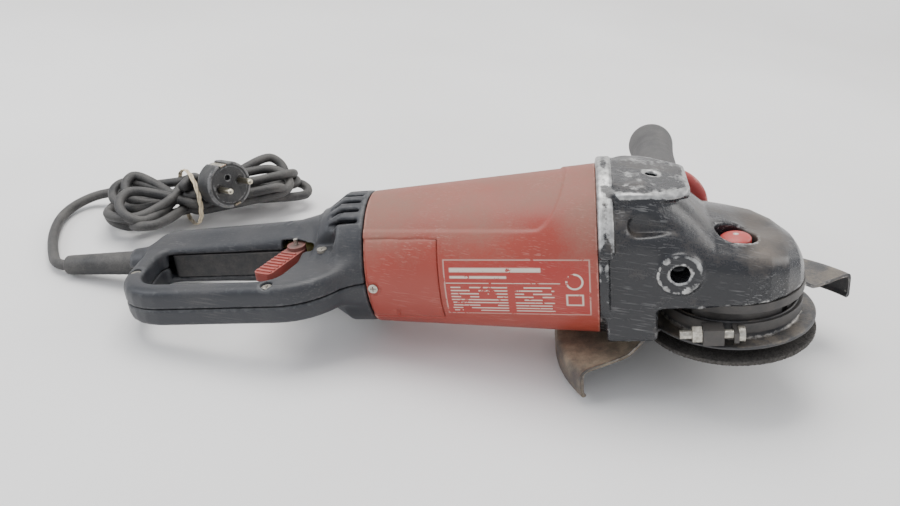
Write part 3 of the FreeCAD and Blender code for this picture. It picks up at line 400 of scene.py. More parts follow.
def tool_mesh(name, points, faces, material, body, stands_for=(), smooth=True):
    """A piece from points in tool millimetres, with its place and its worn edges stored on it."""
    points = np.asarray(points, float)
    turned = np.array(lie.to_3x3())
    item = mesh_piece(name, points @ turned.T + np.array(lie.translation), faces, material, smooth)
    mesh = item.data
    kept = np.empty(len(mesh.vertices) * 3)
    mesh.vertices.foreach_get("co", kept)
    spots = (kept.reshape(-1, 3) - np.array(lie.translation)) @ np.linalg.inv(turned).T
    mesh.attributes.new("spot", "FLOAT_VECTOR", "POINT").data.foreach_set("vector", spots.ravel())
    normals = np.empty(len(kept))
    mesh.vertices.foreach_get("normal", normals)
    normals = normals.reshape(-1, 3)
    ends = np.empty(len(mesh.edges) * 2, int)
    mesh.edges.foreach_get("vertices", ends)
    one, two = ends.reshape(-1, 2).T
    apart = spots[one] - spots[two]
    bend = ((normals[one] - normals[two]) @ np.linalg.inv(turned * 1000).T * apart).sum(axis=1)
    bend = bend / np.maximum((apart ** 2).sum(axis=1), 1e-6)
    sharp, count = np.zeros(len(spots)), np.zeros(len(spots)) + 1e-6
    for side in (one, two):
        np.add.at(sharp, side, bend)
        np.add.at(count, side, 1)
    sharp = sharp / count
    for _ in range(3):
        spread = np.zeros(len(spots))
        np.add.at(spread, one, sharp[two])
        np.add.at(spread, two, sharp[one])
        sharp = 0.4 * sharp + 0.6 * spread / count
    mesh.attributes.new("edge", "FLOAT", "POINT").data.foreach_set("value", np.clip(sharp * 1.8, -1, 0.3))
    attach(item, body)
    if stands_for:
        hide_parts(*stands_for)
    return item


def lattice(rows, columns, close_rows=False, close_columns=False, start=0):
    """The faces of a grid of points, row by row."""
    faces = []
    for i in range(rows if close_rows else rows - 1):
        for j in range(columns if close_columns else columns - 1):
            next_i, next_j = (i + 1) % rows, (j + 1) % columns
            faces.append((start + i * columns + j, start + i * columns + next_j,
                          start + next_i * columns + next_j, start + next_i * columns + j))
    return faces


def attribute(tree, name):
    return node(tree, "Attribute", {"attribute_name": name}).outputs


def between(tree, value, low, high, soft=0.4):
    """One inside a range of values, nought outside it."""
    up = node(tree, "MapRange", Value=value, From_Min=low - soft, From_Max=low + soft).outputs[0]
    down = node(tree, "MapRange", Value=value, From_Min=high - soft, From_Max=high + soft,
                To_Min=1.0, To_Max=0.0).outputs[0]
    return times(tree, up, down)


REAR, FRONT, REAR_R, FRONT_R = -241.0, -88.0, 46.5, 57.5


def housing_radius(x):
    return REAR_R + (FRONT_R - REAR_R) * (x - REAR) / (FRONT - REAR)


red_shell, tree, shader = finish("red_housing", Roughness=0.42)
spot = attribute(tree, "spot")["Vector"]
axes = node(tree, "SeparateXYZ", Vector=spot).outputs
along, aside, rise = axes["X"], axes["Y"], axes["Z"]
tone = node(tree, "TexNoise", Vector=object_place(tree), Scale=14.0, Detail=5.0)
red = blend_colour(tree, tone.outputs[0], (0.235, 0.030, 0.020), (0.37, 0.062, 0.040))
label_at = between(tree, aside, -70, -30)
label_zone = times(tree, times(tree, between(tree, along, -187, -93), between(tree, rise, -23.5, 17.5)),
                   label_at)
red = blend_colour(tree, times(tree, label_zone, 0.55), red, (0.36, 0.024, 0.020))
# what is printed: an outline, two plain bars, rows of dashes and two plain signs
outline = reckon(tree, "SUBTRACT", 1.0, times(tree, between(
    tree, along, -186.2, -93.8, 0.15), between(tree, rise, -22.8, 16.8, 0.15)), clamp=True)
outline = times(tree, outline, 0.5)
rule = times(tree, between(tree, rise, 1.6, 2.1, 0.15), between(tree, along, -186, -112))
long_bar = times(tree, between(tree, rise, 9.4, 12.2), between(tree, along, -183, -124))
short_bar = times(tree, between(tree, rise, 5.2, 6.8), between(tree, along, -183, -146))
bars = reckon(tree, "MAXIMUM", long_bar, short_bar)
row_at = times(tree, rise, 0.42)
dashes = node(tree, "TexWhiteNoise", {"noise_dimensions": "2D"}, Vector=node(
    tree, "CombineXYZ", X=reckon(tree, "FLOOR", times(tree, along, 0.17)),
    Y=reckon(tree, "FLOOR", row_at)).outputs[0]).outputs["Value"]
rows = times(tree, between(tree, reckon(tree, "FRACT", row_at), 0.3, 0.66, 0.08),
             reckon(tree, "GREATER_THAN", dashes, 0.2))
columns = reckon(tree, "MAXIMUM", between(tree, along, -183, -146), between(tree, along, -141, -116))
rows = times(tree, times(tree, rows, columns), between(tree, rise, -21, 0.4))


def ring_sign(x, z, radius, thick):
    """A printed ring or, when thick, a printed disc."""
    across = reckon(tree, "POWER", reckon(tree, "SUBTRACT", along, x), 2.0)
    tall = reckon(tree, "POWER", reckon(tree, "SUBTRACT", rise, z), 2.0)
    far = reckon(tree, "SQRT", reckon(tree, "ADD", across, tall))
    return between(tree, far, radius - thick, radius, 0.2)


box_sign = times(tree, between(tree, along, -108.5, -97.5), between(tree, rise, -15, -6))
box_hole = times(tree, between(tree, along, -107.5, -98.5), between(tree, rise, -14, -7))
signs = reckon(tree, "MAXIMUM", ring_sign(-103, 3, 5.6, 1.2), reckon(
    tree, "SUBTRACT", box_sign, box_hole, clamp=True))
printed = reckon(tree, "MAXIMUM", reckon(tree, "MAXIMUM", rows, signs),
                 reckon(tree, "MAXIMUM", reckon(tree, "MAXIMUM", bars, rule), outline))
rubbed = node(tree, "TexNoise", Vector=object_place(tree), Scale=95.0, Detail=6.0, Roughness=0.75)
kept = reckon(tree, "GREATER_THAN", rubbed.outputs[0], 0.42)
printed = times(tree, times(tree, printed, label_zone), kept)
colour = blend_colour(tree, printed, red, (0.62, 0.55, 0.47))
marks = scratched(tree, 1.0, 0.8)
colour = blend_colour(tree, times(tree, marks, 0.55), colour, (0.60, 0.30, 0.25))
edge = worn(tree, 0.16)
colour = blend_colour(tree, times(tree, edge, 0.6), colour, (0.55, 0.24, 0.19))
high = node(tree, "MapRange", Value=rise, From_Min=8.0, From_Max=36.0, To_Min=-0.12,
            To_Max=0.56).outputs[0]
clean = between(tree, along, -150, -108, 10.0)
clean = times(tree, clean, between(tree, rise, 20, 44, 5.0))
film = place(tree, dust_group, Amount=reckon(tree, "MULTIPLY_ADD", clean, -0.5, high), Scale=24.0,
             Facing=0.12)["Mask"]
colour = blend_colour(tree, times(tree, film, 0.78), colour, (0.215, 0.150, 0.112))
feed(tree, shader, Base_Color=colour, Roughness=reckon(tree, "MULTIPLY_ADD", film, 0.36, 0.40))
bump(tree, shader, reckon(tree, "MULTIPLY_ADD", marks, -0.6, grain(tree, 1100.0)), 0.16)

rounds, steps = 260, 190
angles = np.linspace(0, 2 * math.pi, rounds, endpoint=False)
across = np.concatenate([[REAR, REAR + 0.25, REAR + 0.8], np.linspace(REAR + 1.6, FRONT - 0.6, steps),
                         [FRONT]])
outer = np.zeros((len(across), rounds, 3))
for i, x in enumerate(across):
    radius = housing_radius(x) - (1.0, 0.45, 0.12)[i] * (i < 3) if i < 3 else housing_radius(x)
    y, z = radius * np.cos(angles), radius * np.sin(angles)
    ledge = 33.5 + 22 * np.clip((x + 128) / 20, 0, 1) ** 2
    sunk = np.clip((z - ledge) / 1.3 + 0.5, 0, 1) * np.clip((-107 - x) / 1.3, 0, 1)
    sunk = sunk * sunk * (3 - 2 * sunk)
    bed = np.clip((29.3 - np.abs(z)) / 0.5, 0, 1) * float(x < -190.0) * (np.abs(y) > 20)
    keep = (radius - 1.0 * sunk - 1.7 * bed) / radius
    outer[i] = np.stack([np.full(rounds, x), y * keep, z * keep], axis=1)
inner = outer[::-1].copy()
inner[:, :, 1:] *= ((np.linalg.norm(inner[:, :, 1:], axis=2) - 3.0) /
                    np.linalg.norm(inner[:, :, 1:], axis=2))[:, :, None]
inner[-1, :, 1:] *= 34 / 43
inner[-1, :, 0] = REAR + 4
rear_ring = outer[0].copy()
rear_ring[:, 1:] *= 30 / np.linalg.norm(rear_ring[:, 1:], axis=1)[:, None]
whole = np.concatenate([outer, inner, rear_ring[None]])
tool_mesh("motor_casing", whole.reshape(-1, 3), lattice(len(whole), rounds, True, True), red_shell,
          "tool", ["motor_housing"])

# Brush covers
# A curved red cover lies in a bed on each side, over the carbon brushes, held by one screw.
covers = []
cover_faces = []
for side in (-1, 1):
    xs, zs = np.linspace(-239.6, -190.6, 46), np.linspace(-28.9, 28.9, 60)
    for skin in (1, 0):
        start = sum(len(part) for part in covers)
        points = []
        for x in xs:
            for z in zs:
                off = max(abs(x + 215.1) - 21.5, 0), max(abs(z) - 25.9, 0)
                rim = min(1.0, math.hypot(*off) / 3.0)
                deep = 0.0 if skin else 1.6
                deep += 0.55 * rim ** 5 * skin
                deep += 0.9 * skin * (math.hypot(x + 236, z + 3) < 5.2)
                slot = skin * (abs(x + 222) < 1.0) * (abs(z + 23.5) < 3.0)
                radius = housing_radius(x) + 0.1 - deep - 1.0 * slot
                squeeze = 1 - 0.004 * rim
                points.append((x, side * math.sqrt(max(radius ** 2 - z * z, 1)) * squeeze, z))
        covers.append(points)
        sheet_faces = lattice(len(xs), len(zs), start=start)
        cover_faces += [face[::-1] for face in sheet_faces] if (skin == 1) == (side > 0) else sheet_faces
    count = len(xs) * len(zs)
    first, second = sum(len(part) for part in covers) - 2 * count, sum(
        len(part) for part in covers) - count
    border = [j for j in range(len(zs))] + [i * len(zs) + len(zs) - 1 for i in range(1, len(xs))]
    border += [count - 1 - j for j in range(1, len(zs))] + [i * len(zs) for i in
                                                            range(len(xs) - 2, -1, -1)]
    for a, b in zip(border, border[1:]):
        cover_faces.append((first + a, first + b, second + b, second + a)[::side])
tool_mesh("brush_cover_pair", [p for part in covers for p in part], cover_faces, red_shell, "tool",
          ["brush_covers"])

# Screws
# Every screw is zinc-plated steel, dusty in its recess: pan heads with a cross or hexagon socket.
zinc, tree, shader = finish("zinc_screws", Metallic=1.0)
tint = node(tree, "TexNoise", Vector=object_place(tree), Scale=500.0, Detail=4.0)
grime = dusted(tree, 0.18, 160.0, 0.1)
colour = ramp(tree, tint.outputs[0], [(0.3, (0.35, 0.33, 0.28)), (0.7, (0.62, 0.60, 0.54))])
feed(tree, shader, Base_Color=blend_colour(tree, grime, colour, (0.16, 0.13, 0.10)),
     Roughness=reckon(tree, "MULTIPLY_ADD", grime, 0.4, 0.34),
     Metallic=reckon(tree, "SUBTRACT", 1.0, times(tree, grime, 0.85)))
rounded = node(tree, "Bevel", {"samples": 4}, Radius=0.0004)
made = node(tree, "Bump", Strength=0.3, Distance=0.0002, Height=tint.outputs[0])
tree.links.new(rounded.outputs[0], made.inputs["Normal"])
tree.links.new(made.outputs["Normal"], shader.inputs["Normal"])


def dress(material, *names):
    """The CAD's own mesh of a piece, in its finish."""
    for name in names:
        piece = frame["nodes"][name]
        piece.data.materials.clear()
        piece.data.materials.append(material)


dress(zinc, "brush_cover_screws", "gear_housing_screws", "bearing_cover_screws", "handle_screws",
      "swivel_ring_screws", "clamp_bolt", "clamp_nut", "side_handle_stud", "handle_pins",
      "cable_clamp")

# Brush gear
# Pressed brass holders guide two carbon blocks, each pushed on the commutator by a coil spring.


def plain(name, dark, light, rough, metal=0.0, scale=300.0, soil=0.12, groove=None):
    """A mottled finish for the parts inside: two tones, soil, and turning or rolling marks."""
    made_of, tree, shader = finish(name, Metallic=metal, Roughness=rough)
    mottle = node(tree, "TexNoise", Vector=object_place(tree), Scale=scale, Detail=5.0)
    soiled = place(tree, dust_group, Amount=soil - 0.1, Scale=120.0, Facing=0.12)["Mask"]
    tone = blend_colour(tree, mottle.outputs[0], dark, light)
    feed(tree, shader, Base_Color=blend_colour(tree, times(tree, soiled, 0.7), tone,
                                               (0.12, 0.105, 0.09)))
    height = mottle.outputs[0]
    if groove:
        lines = node(tree, "Mapping", Vector=object_place(tree), Scale=groove)
        height = node(tree, "TexNoise", Vector=lines.outputs[0], Scale=1.0, Detail=2.0).outputs[0]
    corner = node(tree, "Bevel", {"samples": 4}, Radius=0.0004)
    rough_bump = node(tree, "Bump", Strength=0.25, Distance=0.0002, Height=height)
    tree.links.new(corner.outputs[0], rough_bump.inputs["Normal"])
    tree.links.new(rough_bump.outputs["Normal"], shader.inputs["Normal"])
    return made_of


dress(plain("pressed_brass", (0.45, 0.33, 0.12), (0.68, 0.52, 0.24), 0.35, 1.0), "brush_holders")
dress(plain("pressed_carbon", (0.012, 0.012, 0.013), (0.035, 0.034, 0.033), 0.6), "carbon_brushes")
spring_wire = plain("spring_wire", (0.28, 0.28, 0.29), (0.45, 0.45, 0.46), 0.3, 1.0)
dress(spring_wire, "brush_springs", "button_spring", "trigger_spring")

# Motor
# Stacked electrical steel round a wound armature; a nylon fan on the shaft blows air to the head.
lamination = plain("lamination", (0.10, 0.10, 0.105), (0.22, 0.22, 0.225), 0.45, 1.0, 200.0, 0.2,
                   (2600.0, 20.0, 20.0))
dress(lamination, "stator_core", "rotor_core")
copper = plain("enamelled_copper", (0.28, 0.09, 0.035), (0.52, 0.21, 0.08), 0.3, 1.0, 700.0, 0.15,
               (40.0, 1500.0, 1500.0))
dress(copper, "stator_coils", "rotor_windings")
dress(plain("commutator_copper", (0.42, 0.17, 0.08), (0.62, 0.31, 0.16), 0.28, 1.0, 300.0, 0.05,
            (20.0, 900.0, 900.0)), "commutator")
black_nylon = plain("black_nylon", (0.018, 0.018, 0.019), (0.040, 0.040, 0.042), 0.55, 0.0, 500.0,
                    0.25)
dress(black_nylon, "air_baffle", "cooling_fan", "switch_body", "swivel_ring")
ground_steel = plain("ground_steel", (0.33, 0.33, 0.34), (0.52, 0.52, 0.53), 0.26, 1.0, 400.0, 0.06,
                     (600.0, 60.0, 60.0))
dress(ground_steel, "rear_bearing", "front_bearing", "armature_shaft", "pinion", "crown_gear",
      "spindle_upper_bearing", "spindle_lower_bearing", "spindle_shaft", "gear_circlip", "lock_pin")

# Gear housing
# A die-cast aluminium head, glossy black, with the bevel gears inside: a lug plateau on top, a
# well for the spindle lock, a threaded pad for the side handle. Its corners are worn bare.


def field_grid(low, high, step):
    """Grid points in tool millimetres, as three broadcasting axes."""
    axes = [np.arange(a, b + step, step) for a, b in zip(low, high)]
    return np.meshgrid(*axes, indexing="ij", sparse=True)


def smooth_max(a, b, soft):
    share = np.clip(0.5 + 0.5 * (a - b) / soft, 0, 1)
    return b + (a - b) * share + soft * share * (1 - share)


def smooth_min(a, b, soft):
    return -smooth_max(-a, -b, soft)


def skin_of(values, low, step):
    """The surface where a field of distances crosses nought: its points and its faces."""
    inside = values < 0
    sizes_of = [size - 1 for size in values.shape]
    total, hits = np.zeros((*sizes_of, 3)), np.zeros(sizes_of)
    for axis in range(3):
        a = values[tuple(slice(None, -1) if k == axis else slice(None) for k in range(3))]
        b = values[tuple(slice(1, None) if k == axis else slice(None) for k in range(3))]
        crosses = (a < 0) != (b < 0)
        share = np.where(crosses, a / np.where(crosses, a - b, 1), 0)
        others = [k for k in range(3) if k != axis]
        for da in (0, 1):
            for db in (0, 1):
                pick = [slice(None)] * 3
                pick[others[0]] = slice(da, da + sizes_of[others[0]])
                pick[others[1]] = slice(db, db + sizes_of[others[1]])
                cross, part = crosses[tuple(pick)], share[tuple(pick)]
                hits += cross
                total[..., axis] += np.where(cross, part, 0)
                total[..., others[0]] += cross * da
                total[..., others[1]] += cross * db
    mixed = hits > 0
    index = np.full(sizes_of, -1)
    index[mixed] = np.arange(mixed.sum())
    cells = np.stack(np.nonzero(mixed), axis=1)
    points = np.array(low) + (cells + total[mixed] / hits[mixed][:, None]) * step
    faces = []
    for axis in range(3):
        u, v = [k for k in range(3) if k != axis]
        if axis == 1:
            u, v = v, u
        a = inside[tuple(slice(None, -1) if k == axis else slice(1, -1) for k in range(3))]
        b = inside[tuple(slice(1, None) if k == axis else slice(1, -1) for k in range(3))]
        for flip in (False, True):
            at_edges = np.stack(np.nonzero((a & ~b) if not flip else (b & ~a)), axis=1)
            corner = at_edges.copy()
            corner[:, u] += 1
            corner[:, v] += 1
            ids = []
            for du, dv in ((0, 0), (-1, 0), (-1, -1), (0, -1)):
                cell = corner.copy()
                cell[:, u] += du
                cell[:, v] += dv
                ids.append(index[tuple(cell.T)])
            quad = np.stack(ids if not flip else ids[::-1], axis=1)
            faces.append(quad)
    return points, np.concatenate(faces)


HEAD = [(-90, 55, 24, 30, 51), (-60, 53, 30, 32, 51), (-50, 50, 30, 28, 51), (-42, 46, 27, 22, 51),
        (-30, 36, 24, 17, 51), (-15, 21, 26, 11, 50), (3, 15, 30, 8, 49), (18, 11.5, 27, 6, 45),
        (30, 7.5, 20, 2, 37), (40, 1.5, 14, -4, 26), (47.5, -8, 8, -12, 13)]
head_low, head_high, head_step = (-91, -58, -50), (51, 66, 66), 1.2
x, y, z = field_grid(head_low, head_high, head_step)
stations = np.array(HEAD).T
deck, deck_half, shoulder, half = (np.interp(x, stations[0], row) for row in stations[1:])
flank = np.abs(y) - half
fall = np.hypot(deck - shoulder, half - deck_half)
bevelled = ((np.abs(y) - half) * (deck - shoulder) + (z - shoulder) * (half - deck_half)) / fall
roof = smooth_max(z - deck, bevelled, 7.0)
walls = smooth_max(roof, flank, 9.0)
nose = smooth_max(walls, x - 46.3, 8.0)
front_part = smooth_max(smooth_max(nose, -21.4 - z, 1.5), -84 - x, 1.0)
rear_part = smooth_max(smooth_max(smooth_max(walls, x + 51, 4.0), -45.7 - z, 4.0), -83.5 - x, 1.0)
head = smooth_min(front_part, rear_part, 3.0)
round_it = np.hypot(y, z)
rear_disc = smooth_max(round_it - 57.3, np.abs(x + 84.6) - 3.2, 0.8)
ring = smooth_max(smooth_max(round_it - 61.8, 56 - round_it, 1.0), np.abs(x + 82.6) - 4.9, 2.0)
ring = smooth_max(ring, 17.5 - z, 3.0)
head = smooth_min(head, smooth_min(rear_disc, ring, 2.0), 2.5)
plateau = smooth_max(np.abs(x + 53) - 24, np.abs(y + 1) - 37, 9.0)
plateau = smooth_max(plateau, np.abs(z - np.clip(52.6 - 0.1 * (x + 60), 44, 53.3) + 4) - 4, 2.4)
plateau = smooth_max(plateau, (x + 53) * 0.5 + np.abs(y) * 0.86 - 34, 8.0)
head = smooth_min(head, plateau, 3.0)
pocket = smooth_max(np.hypot(np.maximum(np.abs(x + 51) - 12, 0), z - 35) - 6.2, np.abs(y + 50) - 9, 3.0)
head = smooth_max(head, -pocket, 3.0)
for side in (-1, 1):
    pad = smooth_max(np.hypot(x + 38, z - 4) - 13.6, np.abs(y - side * 47) - 6.0, 1.6)
    head = smooth_min(head, pad, 4.0)
    rib = np.abs(((x + z * 0.25) / 2.1) % 1.0 - 0.5) * 1.2 - 0.1
    serrated = np.maximum(np.hypot(x + 38, z - 4) - 12.6, np.abs(y - side * 53.2) - 0.7 + rib)
    head = np.maximum(head, -serrated)
    head = np.maximum(head, -np.maximum(np.hypot(x + 38, z - 4) - 6.0, np.abs(y - side * 46) - 9))
well_rim = np.hypot(np.hypot(x, y + 18) - 14.2, z - np.interp(x, stations[0], stations[1]) + 4.0) - 3.6
head = smooth_min(head, np.where(x > 2, well_rim, well_rim + (2 - x) * 0.4), 3.0)
head = smooth_max(head, -np.maximum(np.hypot(x, y + 18) - 13.2, 1.8 - z), 1.8)
dish = np.sqrt(((x - 22) / 15) ** 2 + ((y - 3) / 18) ** 2 + ((z - 15.5) / 7.5) ** 2) * 7 - 7
head = smooth_max(head, -dish, 4.0)
ear = np.maximum(np.hypot(x + 26, y + 45) - 6.0, np.abs(z + 20.5) - 3.4)
head = smooth_min(head, ear, 2.0)
head = smooth_max(head, -np.maximum(np.hypot(x, y) - 69.2, z + 21.6), 0.8)
for room in (np.maximum(np.hypot(x, y) - 37, np.abs(z + 13) - 10), np.maximum(np.hypot(y, z) - 14,
                                                                           np.abs(x + 42) - 32),
             np.maximum(np.hypot(y, z) - 16.3, np.abs(x + 80) - 12), np.hypot(x + 52, y) - 4.2
             + 99 * (z < 39), np.maximum(np.hypot(x, y) - 9.5, np.abs(z + 1) - 3)):
    head = np.maximum(head, -room)
head = np.maximum(head, -88.0 - x)
edge_frame = np.ones(head.shape, bool)
edge_frame[1:-1, 1:-1, 1:-1] = False
head[edge_frame] = np.maximum(head[edge_frame], 0.5)
head_points, head_faces = skin_of(head, head_low, head_step)

black_cast, tree, shader = finish("black_casting")
wear = attribute(tree, "edge")["Fac"]
axes = node(tree, "SeparateXYZ", Vector=attribute(tree, "spot")["Vector"]).outputs
along, aside, rise = axes["X"], axes["Y"], axes["Z"]
on_top = node(tree, "MapRange", Value=rise, From_Min=44.5, From_Max=50.0, To_Max=0.52).outputs[0]
on_ring = times(tree, between(tree, along, -88.5, -77, 0.8), node(
    tree, "MapRange", Value=rise, From_Min=20.0, From_Max=30.0, To_Max=0.45).outputs[0])
on_nose = node(tree, "MapRange", Value=along, From_Min=31.0, From_Max=47.0, To_Max=0.34).outputs[0]
on_pad = times(tree, between(tree, along, -52, -24, 2.0), between(tree, rise, -10, 18, 2.0))
on_pad = times(tree, on_pad, node(tree, "MapRange", Value=reckon(
    tree, "ABSOLUTE", aside), From_Min=51.0, From_Max=53.0, To_Max=0.3).outputs[0])
rubbed = reckon(tree, "ADD", reckon(tree, "MAXIMUM", on_top, on_ring),
                reckon(tree, "MAXIMUM", on_nose, on_pad))
bare = place(tree, wear_group, Edge=wear, Amount=rubbed, Scale=95.0)["Mask"]
marks = scratched(tree, 0.8, 0.9)
bare = reckon(tree, "MAXIMUM", bare, times(tree, marks, 0.55))
shade = node(tree, "TexNoise", Vector=object_place(tree), Scale=260.0, Detail=6.0)
metal_tone = ramp(tree, shade.outputs[0], [(0.3, (0.24, 0.24, 0.235)), (0.68, (0.56, 0.56, 0.55))])
dish_dust = times(tree, between(tree, along, 4, 42, 8.0), between(tree, rise, 4, 26, 6.0))
film = place(tree, dust_group, Amount=reckon(tree, "MULTIPLY_ADD", dish_dust, 0.46, -0.12), Scale=34.0,
             Facing=0.16)["Mask"]
film = times(tree, film, reckon(tree, "SUBTRACT", 1.0, times(tree, bare, 0.6)))
paint = blend_colour(tree, bare, (0.014, 0.015, 0.018), metal_tone)
colour = blend_colour(tree, times(tree, film, 0.85), paint, (0.165, 0.135, 0.108))
feed(tree, shader, Base_Color=colour,
     Metallic=times(tree, bare, reckon(tree, "SUBTRACT", 0.9, film, clamp=True)),
     Roughness=reckon(tree, "ADD", reckon(tree, "MULTIPLY_ADD", bare, 0.16, 0.27),
                      times(tree, film, 0.4)))
bump(tree, shader, reckon(tree, "MULTIPLY_ADD", bare, -0.8, grain(tree, 420.0)), 0.32)
tool_mesh("gear_head_casting", head_points, head_faces, black_cast, "tool",
          ["gear_housing"])

# Bearing cover
# A turned plate under the head holds the spindle's lower bearing; the guard clamps on its collar.
guard_paint = plain("guard_paint", (0.035, 0.035, 0.037), (0.085, 0.08, 0.075), 0.5, 0.3, 90.0, 0.3)
dress(guard_paint, "bearing_cover", "guard_clamp_band", "clamp_block")

# Spindle flange, disc and clamping nut
# A worn-down resin-bonded disc, its rim ragged, pinched between a steel flange and a round nut.


def turned_piece(name, profile, material, body, stands_for=(), place_at=None, rough=0.0, around=120,
                 fine=1.2, seed=1, start=0.0, sweep=360.0):
    """A profile of (radius, height) turned about Z, its lines cut fine enough to take wear."""
    points = []
    for (r0, z0), (r1, z1) in zip(profile, profile[1:] + profile[:1]):
        parts = max(1, int(math.hypot(r1 - r0, z1 - z0) / fine))
        points += [(r0 + (r1 - r0) * i / parts, z0 + (z1 - z0) * i / parts) for i in range(parts)]
    shape = np.array(points)
    shape = 0.5 * shape + 0.25 * (np.roll(shape, 1, 0) + np.roll(shape, -1, 0))
    whole_turn = sweep >= 360
    swing = np.radians(start + np.linspace(0, sweep, around, endpoint=not whole_turn))
    chance = np.random.default_rng(seed)
    cloud = []
    for angle in swing:
        noise = chance.normal(0, rough, len(shape)) if rough else 0
        radius = shape[:, 0] - np.abs(noise) * (shape[:, 0] > 0.93 * shape[:, 0].max())
        cloud.append(np.stack([radius * math.cos(angle), radius * math.sin(angle), shape[:, 1]], 1))
    cloud = np.concatenate(cloud)
    faces = lattice(len(swing), len(shape), whole_turn, True)
    if not whole_turn:
        faces += [tuple(range(len(shape))), tuple(range(len(cloud) - 1, len(cloud) - len(shape) - 1, -1))]
    if place_at is not None:
        cloud = np.array([place_at @ Vector(point) for point in cloud])
    return tool_mesh(name, cloud, [face[::-1] for face in faces], material, body, stands_for)


flange_steel = plain("flange_steel", (0.22, 0.21, 0.20), (0.42, 0.41, 0.39), 0.35, 1.0, 150.0, 0.3,
                     (800.0, 800.0, 30.0))
turned_piece("disc_flange", [(7.0, -53.1), (16, -53.1), (20.3, -54.6), (20.3, -57.45), (7.0, -57.45)],
             flange_steel, "spindle", ["backing_flange"])
abrasive, tree, shader = finish("abrasive", Roughness=0.85)
grit = node(tree, "TexVoronoi", Vector=object_place(tree), Scale=900.0)
weave = node(tree, "TexNoise", Vector=object_place(tree), Scale=70.0, Detail=6.0)
edge = worn(tree, 0.22, 200.0)
tone = ramp(tree, grit.outputs["Color"], [(0.2, (0.022, 0.021, 0.020)), (0.8, (0.075, 0.07, 0.065))])
tone = blend_colour(tree, times(tree, weave.outputs[0], 0.5), tone, (0.10, 0.088, 0.075))
feed(tree, shader, Base_Color=blend_colour(tree, edge, tone, (0.23, 0.20, 0.17)))
bump(tree, shader, grit.outputs["Distance"], 0.6, 0.0006)
turned_piece("grinding_wheel", [(11.1, -57.55), (57.3, -57.55), (57.3, -60.45), (11.1, -60.45)], abrasive,
             "spindle", ["grinding_disc"], rough=0.35, around=400, fine=0.7)
turned_piece("disc_nut", [(7.0, -60.55), (20.3, -60.55), (20.3, -64.3), (14, -68.3), (7.0, -68.3)],
             flange_steel, "spindle", ["clamping_nut"])

# Spindle lock
# A domed red nylon button in a well on the nose, pushed up by a coil; its pin drops in the gear.
red_knob, tree, shader = finish("red_button", Roughness=0.45)
axes = node(tree, "SeparateXYZ", Vector=attribute(tree, "spot")["Vector"]).outputs
from_middle = reckon(tree, "SQRT", reckon(tree, "ADD", reckon(tree, "POWER", axes["X"], 2.0), reckon(
    tree, "POWER", reckon(tree, "ADD", axes["Y"], 18.0), 2.0)))
dot = between(tree, from_middle, -1.0, 1.7, 0.3)
film = dusted(tree, 0.12, 120.0, 0.2)
edge = worn(tree, 0.16)
colour = blend_colour(tree, edge, (0.50, 0.040, 0.035), (0.62, 0.24, 0.20))
colour = blend_colour(tree, times(tree, film, 0.6), colour, (0.20, 0.16, 0.14))
feed(tree, shader, Base_Color=blend_colour(tree, dot, colour, (0.55, 0.53, 0.50)), Metallic=dot)
bump(tree, shader, grain(tree, 900.0), 0.2)
button_at = Matrix.Translation((0, -18, 0))
dome = [(9.9 * math.sin(math.radians(a)), 11.6 + 3.35 * math.cos(math.radians(a)))
        for a in range(5, 91, 6)]
turned_piece("lock_button_cap", [(0.0, 8.05), (0.0, 14.9), *dome, (9.9, 8.05)], red_knob, "button",
             ["lock_button"], button_at, fine=0.6)

# Guard
# Pressed 2.5 mm steel, once black: a sleeve, a cone, a flat half plate and a skirt with its foot
# turned in. A band with one bolt clamps the sleeve to the bearing collar.
guard_steel, tree, shader = finish("guard_steel")
axes = node(tree, "SeparateXYZ", Vector=attribute(tree, "spot")["Vector"]).outputs
rust = node(tree, "TexNoise", Vector=object_place(tree), Scale=60.0, Detail=8.0, Roughness=0.7)
near_end = node(tree, "MapRange", Value=axes["X"], From_Min=-20.0, From_Max=-75.0, To_Min=-0.3,
                To_Max=0.36).outputs[0]
caked = dusted(tree, near_end, 30.0, 0.36)
edge = worn(tree, 0.12, 140.0)
marks = scratched(tree, 0.9, 0.6)
base = ramp(tree, rust.outputs[0], [(0.35, (0.030, 0.031, 0.034)), (0.62, (0.060, 0.058, 0.058)),
                                    (0.8, (0.10, 0.075, 0.055))])
colour = blend_colour(tree, reckon(tree, "MAXIMUM", edge, times(tree, marks, 0.3)), base,
                      (0.40, 0.385, 0.36))
colour = blend_colour(tree, caked, colour, ramp(tree, rust.outputs[0], [
    (0.3, (0.17, 0.13, 0.09)), (0.65, (0.36, 0.29, 0.20))]))
feed(tree, shader, Base_Color=colour, Metallic=times(tree, edge, 0.7),
     Roughness=reckon(tree, "MULTIPLY_ADD", caked, 0.45, 0.42))
bump(tree, shader, reckon(tree, "MULTIPLY_ADD", caked, 1.4, rust.outputs[0]), 0.5, 0.0006)
wing = [(56, -47.1), (64, -47.1), (70, -50.4), (76, -54.6), (82, -58.2), (87, -59.1), (114, -59.1),
        (117.6, -59.7), (119.3, -61.4), (119.9, -64.5), (119.9, -78.0), (119.4, -79.5), (118, -79.95),
        (115.6, -79.9), (115.6, -77.6), (117.2, -77.2), (117.5, -76), (117.4, -64.6), (116.6, -62.2),
        (114, -61.5), (86, -61.4), (80.5, -60.4), (74, -56.4), (68, -52.2), (63, -49.6), (56, -49.5)]
turned_piece("guard_wing", wing, guard_steel, "guard", ["guard_shell"], around=170,
             start=34.0, sweep=178.0)
turned_piece("guard_sleeve", [(43.5, -34.1), (45.3, -34.1), (45.3, -46.9), (56.6, -47.0), (56.6, -49.4),
                              (43.5, -49.4)], guard_steel, "guard", around=150)

